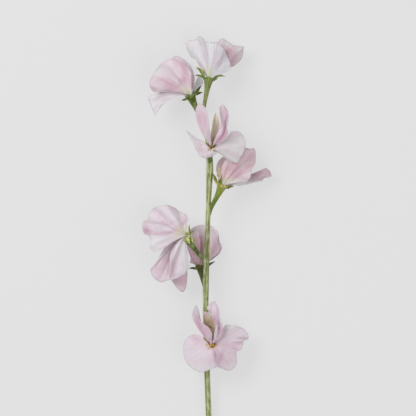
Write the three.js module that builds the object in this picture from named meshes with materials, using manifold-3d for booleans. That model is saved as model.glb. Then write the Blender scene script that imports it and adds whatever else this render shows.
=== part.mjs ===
// A cut stem of sweet pea lying on a table: one green stem that carries seven blooms on short stalks. Each
// bloom has a funnel-shaped calyx with five narrow sepals, and four petals seated in it: the banner, two
// wings and the keel. Millimetres. +Y runs along the stem to its tip, +Z is up off the table, and the
// origin is the flat spot under the cut end.

import * as THREE from "three";
import { mergeVertices } from "three/addons/utils/BufferGeometryUtils.js";
import Module from "manifold-3d";

const wasm = await Module();
wasm.setup();

// ---- Driving dimensions ----

const PETAL_THICKNESS = 0.6;
const GAP = 0.3; // air left between a petal and the calyx
const EDGE_ROOM = 1.5; // how much more of it the petal's edges get

const BUTT_HEIGHT = 2.0; // the centre line above the table where the cut end lies: the stem's radius there
const STEM_SIDES = 10;
const STEM_RINGS = 32;

const STALK_RADIUS = 1.1; // a bloom's stalk where it leaves the stem
const MOUTH_RADIUS = 3.9; // the calyx at its mouth
const FLARE_LENGTH = 6.0; // distance below the mouth in which the flare falls to a third
const STALK_RINGS = 8;
const CALYX_WALL = 0.7;
const CALYX_SIDES = 10;
const CAVITY_LEVELS = [5, 3, 1.2, 0, -3]; // distances below the mouth

const CLAW_DEPTH = 2.6; // how far a petal's foot reaches down into the calyx
const LIP_CLEARANCE = 1.5; // how far a blade is lifted along the axis where it turns over the calyx's lip

const SEPAL_WIDTH = 2.5;
const SEPAL_THICKNESS = 1.2;
const SEPAL_ROOT = 1.5; // how far below the mouth a sepal parts from the calyx
const SEPAL_RINGS = 4;

const GREEN = { color: 0x93a267, roughness: 0.75 };
const PINK = { color: 0xdcc6cf, roughness: 0.8 };
const TAN = { color: 0xb09c80, roughness: 0.75 };

// How finely each kind of petal is faceted, how far its foot sits from the calyx's axis, half the width of
// the foot, and how much shorter the claw is at the petal's sides than along its rib.
const PETAL_KINDS = {
  banner: { rows: 6, columns: 24, from: 1.5, halfFoot: 0.7, shorter: 0.5, finish: PINK },
  wing_left: { rows: 5, columns: 12, from: 1.05, halfFoot: 0.4, shorter: 0.4, finish: PINK },
  wing_right: { rows: 5, columns: 12, from: 1.05, halfFoot: 0.4, shorter: 0.4, finish: PINK },
  keel: { rows: 4, columns: 8, from: 1.25, halfFoot: 0.4, shorter: 0.5, finish: TAN },
};

// The stem's centre line, from the cut end to the tip, with its radius at each point: [x, y, z, radius].
const STEM = [
  [0, -6, BUTT_HEIGHT, 2.0],
  [0, 5, BUTT_HEIGHT, 2.0],
  [-0.6, 25, 2.8, 2.0],
  [-2.4, 72, 7.0, 2.0],
  [-3.4, 103, 10.8, 2.0],
  [-3.8, 131, 14.0, 2.0],
  [-3.2, 158, 16.8, 1.95],
  [-2.5, 177, 18.0, 1.7],
  [-1.6, 201, 18.8, 1.75],
  [-0.9, 225, 19.6, 2.0],
  [-1.6, 238, 20.0, 1.8],
  [-4.0, 252, 20.2, 1.3],
];

// The blooms from the lowest to the tip. The stalk leaves the stem at the node and ends in the middle of
// the calyx's mouth, which faces along the axis. A sepal is [bearing, length, lean, curl]: its place round
// the calyx, and how far it leans away from the axis at its root and bends on from there, in degrees. A
// petal's seat is the bearing of its foot; claw is how far the blade runs on along the axis before it
// turns; cup is how the blade swells; wave is [height, half waves, start] across the blade; crease is the
// depth of the rib's groove; and rim is the edge from one side of the claw round to the other, measured
// from the mouth. Bearing 0 is the top of the calyx, or its front where it opens to the sky, and 90 is its
// left.
const BLOOMS = {
  // The lowest bloom, open to the sky: a banner of two broad lobes, with wings and keel laid back along the
  // stem.
  1: {
    node: [-3.1, 85, 8.6],
    mouth: [0.5, 100, 21.5],
    axis: [0.05, 0.42, 0.9],
    sepals: [
      [45, 3.5, 135, 25], [100, 5, 115, 30], [180, 5, 75, 40], [260, 5, 115, 30], [315, 3.5, 135, 25],
    ],
    banner: {
      seat: 341,
      claw: 8,
      cup: [0, -1, 3],
      wave: [0.7, 5, 0.2],
      crease: 1.2,
      rim: [
        [-8, 6.5, -1], [-12.5, 7.2, -2.2], [-18, 3.5, -5], [-19.7, -4, -6.5], [-17.8, -11.5, -6.5],
        [-12.5, -17, -5], [-6, -18.7, -2.5], [-1, -16.5, -0.5], [3.5, -15.2, -1], [8, -17.5, -3.5],
        [13.5, -18, -6], [17.8, -13, -4.5], [17.8, -5.5, -1], [20.5, -3.5, -2], [24, 2, -6],
        [25.5, 4.5, -7.5], [22.8, 10.5, -6.5], [16.5, 13.3, -4.5], [9.5, 13.8, -4],
      ],
    },
    wing_left: {
      seat: 114,
      claw: 6,
      cup: [-1, 0, 1],
      wave: [0.4, 3, 0],
      crease: 0.5,
      rim: [
        [-13, 25, 0], [-11.2, 27.6, 1], [-9.6, 25, 4], [-9, 21.6, 7], [-7, 16.4, 10], [-4, 12, 10.5],
        [-1.6, 8.5, 9.5], [-0.9, 4.5, 7], [-0.7, 2.1, 4.2],
      ],
    },
    wing_right: {
      seat: 239,
      claw: 9,
      cup: [4.5, 0, 0.5],
      wave: [0.4, 3, 1],
      crease: 0.5,
      rim: [
        [0.4, 1.9, 4.3], [1.2, 5, 7], [1.9, 10, 9.5], [2.9, 14.5, 10.5], [2.4, 18.5, 9.5], [0, 22, 7.5],
        [-2, 26, 4], [-0.6, 29.6, 1.5], [2, 30.6, 0.5], [4, 27, 0.5], [4.6, 22, 2], [5.2, 18.5, 3.4],
        [7.8, 14.5, 4], [8, 11, 4.5],
      ],
    },
    keel: {
      seat: 176,
      claw: 5,
      cup: [0, 0, -4],
      wave: [0, 1, 0],
      crease: 0.6,
      rim: [
        [-6, 18, 2.8], [-5.6, 23.3, 1.5], [-2.5, 22.6, 2], [-0.6, 20.4, 2.4], [0.9, 17.8, 2.4],
        [1, 14.6, 2.4], [0.8, 11, 2.2], [0.7, 7, 1.6], [0.5, 3.2, 1],
      ],
    },
  },
  // Tucked under the stem, with its back to the table.
  2: {
    node: [-4.0, 137, 14],
    mouth: [-7, 154.5, 8.5],
    axis: [-0.1, 0.94, -0.3],
    sepals: [[30, 4, 60, 60], [88, 5.5, 60, 45], [160, 6, 30, 40], [215, 6, 30, 40], [280, 7.5, 50, 30]],
    banner: {
      seat: 180,
      claw: 7,
      cup: [0, 0, -3],
      wave: [0.5, 5, 0.3],
      crease: 0.5,
      rim: [
        [-7.5, 2.4, -2], [-9.5, 8, -2.5], [-10.2, 16.5, -3.5], [-9, 24, -4.5], [-5, 27.5, -5.5],
        [-0.5, 29.2, -6], [4, 29.2, -6], [8.5, 28, -5.5], [11.7, 24, -4.5], [13, 18, -3.5],
        [14.7, 13.5, -3], [12.7, 9, -2.5], [8, 4.7, -2],
      ],
    },
    wing_left: {
      seat: 92,
      claw: 3,
      cup: [0, 0, 2],
      wave: [0.4, 4, 0],
      crease: 0.4,
      rim: [
        [-5.5, 4.5, 0], [-8, 11.5, 0], [-8, 18.5, 0], [-5.5, 24, 0], [-2, 25, 1.5], [-0.6, 18.5, 3.5],
      ],
    },
    wing_right: {
      seat: 255,
      claw: 4,
      cup: [0, 0, 2],
      wave: [0.4, 4, 0.5],
      crease: 0.4,
      rim: [
        [3, 17, 4], [5, 24.5, 2], [8.5, 26, 0.5], [11, 21.5, 0], [12, 15.5, 0], [13, 12, -0.5],
        [10, 7.5, -0.5],
      ],
    },
    keel: {
      seat: 353,
      claw: 8.5,
      cup: [0, 0, -2],
      wave: [0, 1, 0],
      crease: 0.3,
      rim: [
        [-1.2, 8, 0], [-1.2, 15, -0.5], [0, 21, -1.5], [1.8, 22, -1.5], [2.6, 16, -0.5],
      ],
    },
  },
  // Nodding to the left, its banner thrown back and its wings hanging.
  3: {
    node: [-3.6, 160, 16.8],
    mouth: [-18, 175.5, 23],
    axis: [-0.82, 0.5, 0.3],
    sepals: [[20, 3.5, 100, 30], [100, 4, 95, 30], [175, 6, 45, 60], [245, 4, 80, 20], [300, 6, 35, 15]],
    banner: {
      seat: 280,
      claw: 10,
      cup: [0, 1, 3],
      wave: [1.1, 6, 0.5],
      crease: 0.6,
      rim: [
        [2, 9, -1], [1.5, 14.5, -4], [-3, 18, -5], [-9, 21, -4], [-15.5, 21, -3], [-22, 20.5, -5],
        [-25.5, 17, -6], [-26.5, 12, -2], [-29.5, 8.5, 1], [-29, 3, 3], [-25, 0.5, 6], [-24, -3, 6.5],
        [-24.5, -7.5, 5], [-21, -10.8, 5], [-17.5, -9.7, 6.5],
      ],
    },
    wing_left: {
      seat: 105,
      claw: 9,
      cup: [0, 0, 1],
      wave: [0.6, 4, 0],
      crease: 0.4,
      rim: [
        [-4, 0.4, 1], [-8, -3, 1.5], [-13.5, -6.5, 1], [-17, -12, 0], [-21, -18, -1.5],
        [-24.2, -22.8, -3], [-22.8, -27.5, -3], [-17.5, -31.8, -2], [-13.5, -30.7, -1],
        [-10.5, -30.2, 0],
      ],
    },
    wing_right: {
      seat: 24,
      claw: 7,
      cup: [1, 0, 2],
      wave: [0.6, 4, 0.5],
      crease: 0.5,
      rim: [
        [-2.8, -2.7, 2.5], [-8, -7, 6.5], [-10.5, -13.5, 7.5], [-11, -20.5, 7.5], [-11.2, -27, 6],
        [-9.5, -30, 4.5], [-5.5, -28.8, 3.5], [-1, -26, 1.5], [2.7, -21, 0], [3.8, -14.5, 0.5],
      ],
    },
    keel: {
      seat: 215,
      claw: 9,
      cup: [0, 0, -2],
      wave: [0, 1, 0],
      crease: 0.8,
      rim: [
        [-3.4, -1.6, -2], [-7, -10, -4.5], [-9.5, -19, -6], [-10.3, -28, -7], [-7, -34.5, -7.5],
        [-2, -38.8, -8], [0.3, -36, -8.5], [1.5, -26.5, -10],
      ],
    },
  },
  // On the right, half closed: a folded banner above, one wing behind and the keel hanging to the table.
  4: {
    node: [-1.0, 191, 18.2],
    mouth: [8, 212, 21],
    axis: [0.37, 0.92, 0.1],
    sepals: [[35, 8, 32, 8], [90, 7.5, 40, 10], [150, 6, 30, 50], [215, 6, 30, 50], [268, 4.5, 35, 45]],
    banner: {
      seat: 0,
      claw: 6,
      cup: [0, 0, 5],
      wave: [1.2, 6, 0.4],
      crease: 0.8,
      rim: [
        [-0.8, 3.6, 1.2], [-1, 9, 2.2], [1.5, 14, 1.5], [4.5, 19, 1], [9, 23.5, -0.5], [14.5, 25.5, -3],
        [19, 24.5, -5], [22, 25, -6.5], [24, 20.5, -6.5], [23.5, 15.5, -5], [20.5, 11, -3],
        [19.5, 6.5, -2.5], [18, 3, -2.5], [13, 0.8, -1.5],
      ],
    },
    wing_left: {
      seat: 90,
      claw: 6,
      cup: [0, 0, 0],
      wave: [0.5, 4, 0],
      crease: 0.4,
      rim: [
        [-3.8, 6, -3], [-4.5, 11, -5], [-3, 16, -7], [0.5, 19.5, -9], [3, 20.5, -9], [4.5, 15, -6.5],
        [3, 7.5, -3],
      ],
    },
    wing_right: {
      seat: 270,
      claw: 6,
      cup: [0, 0, 0],
      wave: [0.5, 5, 0.5],
      crease: 0.5,
      rim: [
        [2.8, 1.5, -1.2], [11, 5, -5], [18, 6.6, -8], [23.5, 8.6, -10], [28, 11.2, -11], [30.5, 12, -11],
        [33, 9.5, -12], [34.5, 6, -12], [29.5, 4, -12], [27.5, 2.2, -13], [20.5, 0.8, -11.5],
        [12, -0.4, -8.5],
      ],
    },
    keel: {
      seat: 180,
      claw: 5,
      cup: [0, 2, -1],
      wave: [0, 1, 0],
      crease: 0.6,
      rim: [
        [0, 2.6, -3], [1.5, 7, -9], [5, 12, -16], [9, 15.5, -21], [12.5, 14, -21], [13.5, 10, -16],
        [8, 4.5, -9],
      ],
    },
  },
  // Above the stem, open to the sky like the lowest bloom: one banner lobe is broad, the other a thin
  // crescent.
  5: {
    node: [-0.9, 222, 19.6],
    mouth: [0, 238.5, 31.5],
    axis: [0.05, 0.42, 0.9],
    sepals: [
      [45, 3.5, 135, 25], [100, 5, 115, 30], [180, 5, 75, 40], [260, 5, 115, 30], [315, 3.5, 135, 25],
    ],
    banner: {
      seat: 359,
      claw: 9,
      cup: [0, -1, 3],
      wave: [0.7, 6, 0.2],
      crease: 1,
      rim: [
        [-6.7, 6, -0.9], [-12, 8.2, -1.5], [-15, 10, -3], [-17.3, 12.5, -4.5], [-15.5, 7.5, -4.5],
        [-13.5, 3, -4.5], [-11.3, -2, -4], [-7, -6, -2.5], [-2, -7.5, -1], [1.5, -6.8, 0],
        [4, -5.5, 0.2], [7, -6, -1.2], [10, -8, -4], [13.5, -10.5, -6], [17.8, -11.5, -5],
        [21.3, -6.5, -5], [23.8, 0.3, -6.5], [22.8, 6.8, -7], [18.7, 10.8, -5], [14, 10.8, -3],
      ],
    },
    wing_left: {
      seat: 109,
      claw: 6,
      cup: [-1, 0, 1],
      wave: [0.4, 3, 0],
      crease: 0.5,
      rim: [
        [-10.3, 27, 0], [-8.6, 29.8, 1], [-5, 27.8, 4], [-3, 23, 8], [-1.7, 17, 10.5], [-1, 11, 10],
        [-0.9, 5, 7.5], [-0.7, 2.3, 4.5],
      ],
    },
    wing_right: {
      seat: 259,
      claw: 8.5,
      cup: [5, 0, 3],
      wave: [0.4, 4, 1],
      crease: 0.5,
      rim: [
        [1.3, 1.3, 4.4], [2.5, 5, 7], [5, 10, 9.5], [7.8, 13.5, 10.5], [7.2, 17, 9.5], [5.8, 22, 8],
        [5.2, 26, 5], [7.5, 28.9, 2.5], [11.2, 25.5, 1.5], [10.8, 19, 3.5], [10, 15, 4.8], [12, 10.5, 5],
      ],
    },
    keel: {
      seat: 188,
      claw: 5.5,
      cup: [0, 0, -4],
      wave: [0, 1, 0],
      crease: 0.6,
      rim: [
        [-0.5, 3.3, 0.9], [0, 8, 1.8], [0.8, 14, 2.2], [1.8, 19.5, 2.2], [3.2, 23.3, 0.8],
        [5.3, 18.5, 2.6], [6, 13.5, 3], [4.2, 8.5, 2.6],
      ],
    },
  },
  // Near the tip, to the left: a banner folded in two along its rib, the under half resting on the table.
  6: {
    node: [-3.4, 248, 20],
    mouth: [-14.5, 274.5, 21],
    axis: [-0.38, 0.92, 0.1],
    sepals: [[20, 4, 75, 40], [78, 4, 80, 10], [160, 6, 40, 50], [245, 5.5, 70, 50], [295, 7.5, 45, 25]],
    banner: {
      seat: 0,
      claw: 6,
      cup: [-1, 1, 3],
      wave: [0.9, 7, 0.4],
      crease: 0.6,
      rim: [
        [1.2, 15, 3.5], [-2, 19.5, 3.5], [-6.5, 23, 3.5], [-13.5, 25.6, 3], [-20.5, 21.8, 4],
        [-24.8, 15.8, 5], [-28.3, 8.5, 5], [-27, 3.4, 4], [-22, 1.4, 0.5], [-25.5, 5, -7],
        [-24, 11, -15], [-18, 18, -21], [-13, 23, -21], [-10.5, 27.4, -15], [-4.5, 25.5, -12.5],
        [0, 21.5, -10.5], [2.8, 16, -8], [2.8, 8, -3.5], [1.8, 3.8, -0.6],
      ],
    },
    wing_right: {
      seat: 90,
      claw: 8,
      cup: [-1, 0, 0],
      wave: [0.4, 4, 0],
      crease: 0.4,
      rim: [
        [-2.8, 1, -1.4], [-8, 0.8, -3.2], [-14, 0.5, -4], [-22, 0, -4.5], [-28.8, -2, -3],
        [-27.8, -7, -2], [-24.6, -14.8, -1.5],
      ],
    },
    wing_left: {
      seat: 235,
      claw: 6,
      cup: [0, 0, 0],
      wave: [0.4, 3, 0],
      crease: 0.3,
      rim: [
        [6, 14.8, -11], [8.2, 12.4, -11.5], [8.8, 8.5, -10.5], [6.8, 4.5, -7],
      ],
    },
    keel: {
      seat: 160,
      claw: 5,
      cup: [0, 0, -1],
      wave: [0, 1, 0],
      crease: 0.4,
      rim: [
        [-4, 8.5, -5], [-6.5, 15, -9.5], [-5, 18.5, -12], [-1.5, 15, -11], [0.4, 8.5, -7], [0.8, 3, -3],
      ],
    },
  },
  // At the tip: a domed banner seen from its back, one wing showing on the right, the rest underneath.
  7: {
    node: [-4.0, 252, 20.2],
    mouth: [-1.5, 286.5, 23],
    axis: [0.12, 0.93, -0.35],
    sepals: [[82, 9.5, 30, 60], [122, 8.5, 40, 70], [170, 6, 30, 50], [225, 6, 30, 50], [280, 8.5, 38, 78]],
    banner: {
      seat: 0,
      claw: 6,
      cup: [0, 0, 3.8],
      wave: [0.9, 5, 0.3],
      crease: 1,
      rim: [
        [-12, 14.5, 0], [-15.7, 21, -3], [-16.2, 24, -4.5], [-14, 26, -4.5], [-9.5, 27, -2.5],
        [-6.2, 29, -0.5], [-4, 28, 0], [-1.5, 25.8, 0], [3, 25, -0.5], [7.5, 22.5, -2],
        [12.2, 17.5, -3.5], [15, 11.8, -4], [15, 7.3, -3.5], [12, 4.8, -2],
      ],
    },
    wing_right: {
      seat: 270,
      claw: 6,
      cup: [0, 0, -2],
      wave: [0.5, 4, 0.5],
      crease: 0.5,
      rim: [
        [3.5, 21, -12], [5.8, 25.5, -12], [9.5, 27.8, -11.5], [13.5, 26, -11], [18, 22.8, -10],
        [24.5, 22.2, -9.5], [24.3, 19, -11], [22, 12.5, -14], [18.5, 9, -15.5],
      ],
    },
    wing_left: {
      seat: 90,
      claw: 6,
      cup: [0, 0, -1],
      wave: [0.4, 4, 0],
      crease: 0.4,
      rim: [
        [-7, 8.5, -8], [-9.8, 15.5, -12], [-8.4, 21.5, -15], [-4.4, 24, -16.5], [-1.2, 20.5, -16],
        [-0.8, 12.5, -13],
      ],
    },
    keel: {
      seat: 180,
      claw: 5,
      cup: [0, 0, -1.5],
      wave: [0, 1, 0],
      crease: 0.5,
      rim: [
        [1.8, 14, -14.5], [4, 19, -17.5], [7.5, 17.5, -17.5], [7.5, 11, -15],
      ],
    },
  },
};

// ---- Vectors and solids ----

const vector = ([x, y, z]) => new THREE.Vector3(x, y, z);
const radians = THREE.MathUtils.degToRad;

function smoothCurve(points) {
  return new THREE.CatmullRomCurve3(points.map(vector), false, "centripetal");
}

function closedGeometry(positions, faces) {
  const geometry = new THREE.BufferGeometry();
  geometry.setAttribute("position", new THREE.Float32BufferAttribute(positions, 3));
  geometry.setIndex(faces);
  return geometry;
}

function solidFrom(geometry) {
  const merged = mergeVertices(geometry, 1e-4);
  return new wasm.Manifold(
    new wasm.Mesh({
      numProp: 3,
      vertProperties: merged.attributes.position.array,
      triVerts: new Uint32Array(merged.index.array),
    }),
  );
}

function geometryFrom(solid) {
  const mesh = solid.getMesh();
  const geometry = new THREE.BufferGeometry();
  geometry.setAttribute("position", new THREE.BufferAttribute(mesh.vertProperties, 3));
  geometry.setIndex(new THREE.BufferAttribute(mesh.triVerts, 1));
  return geometry;
}

// ---- Tubes: the stem, the stalks, the calyx cavities and the sepals ----

// A closed tube round a row of rings. Each ring has its centre, the tube's direction there and its half
// sizes across and upwards. Upwards is as near to the given direction as the tube allows.
function tube(rings, sides, upwards) {
  const positions = [];
  const faces = [];
  const flatUnder = Math.PI / sides - Math.PI / 2;
  for (const { at, along, across, up } of rings) {
    const side = new THREE.Vector3().crossVectors(along, upwards).normalize();
    const top = new THREE.Vector3().crossVectors(side, along).normalize();
    for (let k = 0; k < sides; k++) {
      const angle = (2 * Math.PI * k) / sides + flatUnder;
      const p = at.clone().addScaledVector(side, across * Math.cos(angle));
      p.addScaledVector(top, up * Math.sin(angle));
      positions.push(p.x, p.y, p.z);
    }
  }
  const last = rings.length - 1;
  positions.push(...rings[0].at.toArray(), ...rings[last].at.toArray());
  const foot = rings.length * sides;
  const head = foot + 1;
  for (let k = 0; k < sides; k++) {
    const next = (k + 1) % sides;
    for (let i = 0; i < last; i++) {
      const [a, b] = [i * sides + k, i * sides + next];
      faces.push(a, a + sides, b + sides, a, b + sides, b);
    }
    faces.push(foot, k, next);
    faces.push(head, last * sides + next, last * sides + k);
  }
  return solidFrom(closedGeometry(positions, faces));
}

function stemSolid() {
  const line = smoothCurve(STEM);
  const size = smoothCurve(STEM.map(([, y, , radius]) => [radius, y, 0]));
  const toCorner = 1 / Math.cos(Math.PI / STEM_SIDES);
  const rings = [];
  for (let i = 0; i <= STEM_RINGS; i++) {
    const t = i / STEM_RINGS;
    const radius = size.getPoint(t).x * toCorner;
    const at = line.getPoint(t);
    const along = line.getTangent(t);
    if (at.z <= BUTT_HEIGHT) {
      at.z = BUTT_HEIGHT;
      along.z = 0; // the cut end lies flat
    }
    rings.push({ at, along, across: radius, up: radius });
  }
  return tube(rings, STEM_SIDES, new THREE.Vector3(0, 0, 1));
}

// The calyx's directions: its axis, the one at bearing 0 and the one at bearing 90.
function calyxFrame(bloom) {
  const axis = vector(bloom.axis).normalize();
  const facesUp = axis.z > 0.5;
  const first = facesUp ? new THREE.Vector3(0, -1, 0) : new THREE.Vector3(0, 0, 1);
  first.addScaledVector(axis, -first.dot(axis)).normalize();
  const left = new THREE.Vector3().crossVectors(first, axis);
  return { axis, first, left };
}

function bearing({ first, left }, degrees) {
  const angle = radians(degrees);
  return first.clone().multiplyScalar(Math.cos(angle)).addScaledVector(left, Math.sin(angle));
}

function calyxRadius(below) {
  return STALK_RADIUS + (MOUTH_RADIUS - STALK_RADIUS) * Math.exp(-below / FLARE_LENGTH);
}

// The stalk and calyx in one, solid: it leaves the node along the stem and reaches the mouth along its
// axis.
function stalkSolid(bloom) {
  const { axis, first } = calyxFrame(bloom);
  const node = vector(bloom.node);
  const mouth = vector(bloom.mouth);
  const reach = node.distanceTo(mouth);
  const leave = node.clone().add(new THREE.Vector3(0, 0.2 * reach, 0));
  const arrive = mouth.clone().addScaledVector(axis, -0.5 * reach);
  const line = new THREE.CubicBezierCurve3(node, leave, arrive, mouth);
  const length = line.getLength();
  const rings = [];
  for (let i = 0; i <= STALK_RINGS; i++) {
    const t = Math.sin((0.5 * Math.PI * i) / STALK_RINGS); // closer rings in the flare
    const radius = calyxRadius(length * (1 - t));
    rings.push({ at: line.getPointAt(t), along: line.getTangentAt(t), across: radius, up: radius });
  }
  return tube(rings, CALYX_SIDES, first);
}

function cavitySolid(bloom) {
  const { axis, first } = calyxFrame(bloom);
  const rings = CAVITY_LEVELS.map((below) => {
    const at = vector(bloom.mouth).addScaledVector(axis, -below);
    const radius = calyxRadius(below) - CALYX_WALL;
    return { at, along: axis, across: radius, up: radius };
  });
  return tube(rings, CALYX_SIDES, first);
}

// One sepal: a pointed blade from the calyx wall that bends outwards in an arc.
function sepalSolid(bloom, [degrees, length, lean, curl]) {
  const frame = calyxFrame(bloom);
  const out = bearing(frame, degrees);
  const step = (length + SEPAL_ROOT) / SEPAL_RINGS;
  const at = vector(bloom.mouth).addScaledVector(frame.axis, -SEPAL_ROOT);
  at.addScaledVector(out, calyxRadius(SEPAL_ROOT) - CALYX_WALL / 2);
  const rings = [];
  for (let i = 0; i <= SEPAL_RINGS; i++) {
    const t = i / SEPAL_RINGS;
    const angle = radians(lean + curl * t);
    const along = frame.axis.clone().multiplyScalar(Math.cos(angle)).addScaledVector(out, Math.sin(angle));
    const across = (SEPAL_WIDTH / 2) * (1 - t * t) + 0.12;
    rings.push({ at: at.clone(), along, across, up: (SEPAL_THICKNESS / 2) * (1 - 0.4 * t) });
    at.addScaledVector(along, step);
  }
  const inwards = frame.axis.clone().multiplyScalar(0.2).sub(out);
  return tube(rings, 4, inwards);
}

// ---- Petals ----

// The petal's middle surface: veins run from the foot to the rim. Each is a cubic curve that leaves the
// foot along the calyx for the length of the claw and swells by the cup on its way out.
function petalGrid(bloom, petal, { rows, columns, from, halfFoot, shorter }) {
  const frame = calyxFrame(bloom);
  const mouth = vector(bloom.mouth);
  const rim = smoothCurve(petal.rim).getSpacedPoints(columns);
  const spread = rim[columns].clone().sub(rim[0]);
  const out = bearing(frame, petal.seat);
  const side = new THREE.Vector3().crossVectors(frame.axis, out);
  if (side.dot(spread) < 0) side.negate();
  const foot = mouth.clone().addScaledVector(frame.axis, -CLAW_DEPTH).addScaledVector(out, from);
  const veins = rim.map((end, j) => {
    const v = (2 * j) / columns - 1;
    const start = foot.clone().addScaledVector(side, v * halfFoot);
    const tip = end.clone().add(mouth);
    const claw = Math.min(petal.claw * (1 - shorter * v * v), 0.7 * start.distanceTo(tip));
    const turn = start.clone().addScaledVector(frame.axis, claw);
    const swell = start.clone().lerp(tip, 0.6).addScaledVector(frame.axis, LIP_CLEARANCE);
    swell.addScaledVector(vector(petal.cup), 1 - v * v);
    return new THREE.CubicBezierCurve3(start, turn, swell, tip);
  });
  const grid = [];
  for (let i = 0; i <= rows; i++) grid.push(veins.map((vein) => vein.getPoint(i / rows)));
  return grid;
}

function gridNormals(grid) {
  const lastRow = grid.length - 1;
  const lastColumn = grid[0].length - 1;
  return grid.map((row, i) =>
    row.map((_, j) => {
      const outward = grid[Math.min(i + 1, lastRow)][j].clone().sub(grid[Math.max(i - 1, 0)][j]);
      const across = row[Math.min(j + 1, lastColumn)].clone().sub(row[Math.max(j - 1, 0)]);
      return outward.cross(across).normalize();
    }),
  );
}

// Waves that grow towards the rim, and the groove along the rib. No point goes under the table.
function wave(grid, petal) {
  const normals = gridNormals(grid);
  const [height, halfWaves, start] = petal.wave;
  grid.forEach((row, i) => {
    const u = i / (grid.length - 1);
    row.forEach((p, j) => {
      const v = (2 * j) / (row.length - 1) - 1;
      const ripple = height * u * u * Math.sin(Math.PI * (start + (halfWaves * (v + 1)) / 2));
      const groove = petal.crease * u * u * (1 - u) * 5 * Math.exp(-((v / 0.16) ** 2));
      const normal = normals[i][j];
      p.addScaledVector(normal, ripple - groove);
      p.z = Math.max(p.z, (PETAL_THICKNESS / 2) * Math.abs(normal.z));
    });
  });
}

// A closed blade: the grid thickened to both sides, faceted alike on both.
function bladeGeometry(grid, thickness) {
  const normals = gridNormals(grid);
  const rows = grid.length;
  const columns = grid[0].length;
  const positions = [];
  for (const half of [thickness / 2, -thickness / 2])
    grid.forEach((row, i) =>
      row.forEach((p, j) => {
        const q = p.clone().addScaledVector(normals[i][j], half);
        positions.push(q.x, q.y, Math.max(q.z, 0));
      }),
    );
  const under = rows * columns;
  const faces = [];
  for (let i = 0; i + 1 < rows; i++)
    for (let j = 0; j + 1 < columns; j++) {
      const a = i * columns + j;
      const [b, c, d] = [a + columns, a + columns + 1, a + 1];
      faces.push(a, b, c, a, c, d);
      faces.push(under + a, under + c, under + b, under + a, under + d, under + c);
    }
  const edge = (a, b) => faces.push(a, b, under + b, a, under + b, under + a);
  for (let j = 0; j + 1 < columns; j++) {
    edge(j, j + 1);
    edge((rows - 1) * columns + j + 1, (rows - 1) * columns + j);
  }
  for (let i = 0; i + 1 < rows; i++) {
    edge((i + 1) * columns, i * columns);
    edge(i * columns + columns - 1, (i + 1) * columns + columns - 1);
  }
  return closedGeometry(positions, faces);
}

// The room for a petal which bends over its calyx's lip: the blade, larger by the gap all round.
function clearance(grid, gap) {
  const past = (p, from) => p.clone().add(p.clone().sub(from).setLength(EDGE_ROOM * gap));
  const wider = grid.map((row) => {
    const last = row.length - 1;
    return [past(row[0], row[1]), ...row.slice(1, last), past(row[last], row[last - 1])];
  });
  wider[0] = wider[0].map((p, j) => past(p, wider[1][j]));
  return solidFrom(bladeGeometry(wider, PETAL_THICKNESS + 2 * gap));
}

// ---- Assembly ----

const sweetPea = new THREE.Group();

function add(name, geometry, finish) {
  const mesh = new THREE.Mesh(geometry, new THREE.MeshStandardMaterial({ ...finish, metalness: 0 }));
  mesh.name = name;
  sweetPea.add(mesh);
}

const petals = [];
for (const [number, bloom] of Object.entries(BLOOMS))
  for (const [kind, facets] of Object.entries(PETAL_KINDS)) {
    const grid = petalGrid(bloom, bloom[kind], facets);
    wave(grid, bloom[kind]);
    petals.push({ name: `bloom_${number}_${kind}`, number, grid, finish: facets.finish });
  }

let green = stemSolid();
for (const [number, bloom] of Object.entries(BLOOMS)) {
  let calyx = stalkSolid(bloom);
  for (const sepal of bloom.sepals) calyx = calyx.add(sepalSolid(bloom, sepal));
  calyx = calyx.subtract(cavitySolid(bloom));
  for (const petal of petals.filter((one) => one.number === number)) {
    const tooClose = calyx.intersect(clearance(petal.grid, GAP / 3)).volume() > 0;
    if (tooClose) calyx = calyx.subtract(clearance(petal.grid, GAP));
  }
  green = green.add(calyx);
}
const pieces = green.decompose().sort((a, b) => b.volume() - a.volume());
add("stem", geometryFrom(pieces[0]), GREEN);

for (const { name, grid, finish } of petals) add(name, bladeGeometry(grid, PETAL_THICKNESS), finish);

export default sweetPea;
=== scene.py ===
"""A cut stem of sweet pea lying on a pale table.

One green stem carries seven blooms on short stalks. Each bloom has a funnel-shaped calyx with five pointed
sepals, and four petals seated in it: the broad banner, two wings and the keel. Every petal is a thin closed
blade with waved edges, fine pleats and veins; the stem and the calyxes are ribbed and downy. Sizes in the
plans are millimetres: +Y runs along the stem to its tip and +Z is up off the table.
"""

import logging
import math
from dataclasses import dataclass
from enum import Enum
from functools import cache

import bpy
import numpy as np
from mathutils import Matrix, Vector


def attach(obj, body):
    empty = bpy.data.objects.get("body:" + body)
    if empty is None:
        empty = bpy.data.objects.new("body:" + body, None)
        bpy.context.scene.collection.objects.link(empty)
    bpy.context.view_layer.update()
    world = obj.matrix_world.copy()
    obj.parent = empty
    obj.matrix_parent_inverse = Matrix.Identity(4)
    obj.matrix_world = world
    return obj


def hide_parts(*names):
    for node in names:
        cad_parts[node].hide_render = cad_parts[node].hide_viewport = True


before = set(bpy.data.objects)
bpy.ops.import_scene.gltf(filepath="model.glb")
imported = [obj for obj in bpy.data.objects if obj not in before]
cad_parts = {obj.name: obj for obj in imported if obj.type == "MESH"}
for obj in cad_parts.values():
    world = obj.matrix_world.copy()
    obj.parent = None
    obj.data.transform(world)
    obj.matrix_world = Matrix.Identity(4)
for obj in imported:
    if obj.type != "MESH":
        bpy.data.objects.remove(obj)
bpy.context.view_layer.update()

LOG = logging.getLogger("sweet_pea")
MM = 0.001
SEED = 7
BODY = "root"
TINY = 1e-12
Point = tuple[float, float, float]
Pair = tuple[float, float]
Colour = tuple[int, int, int]
Array = np.ndarray
Socket = bpy.types.NodeSocket
Material = bpy.types.Material


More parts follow.
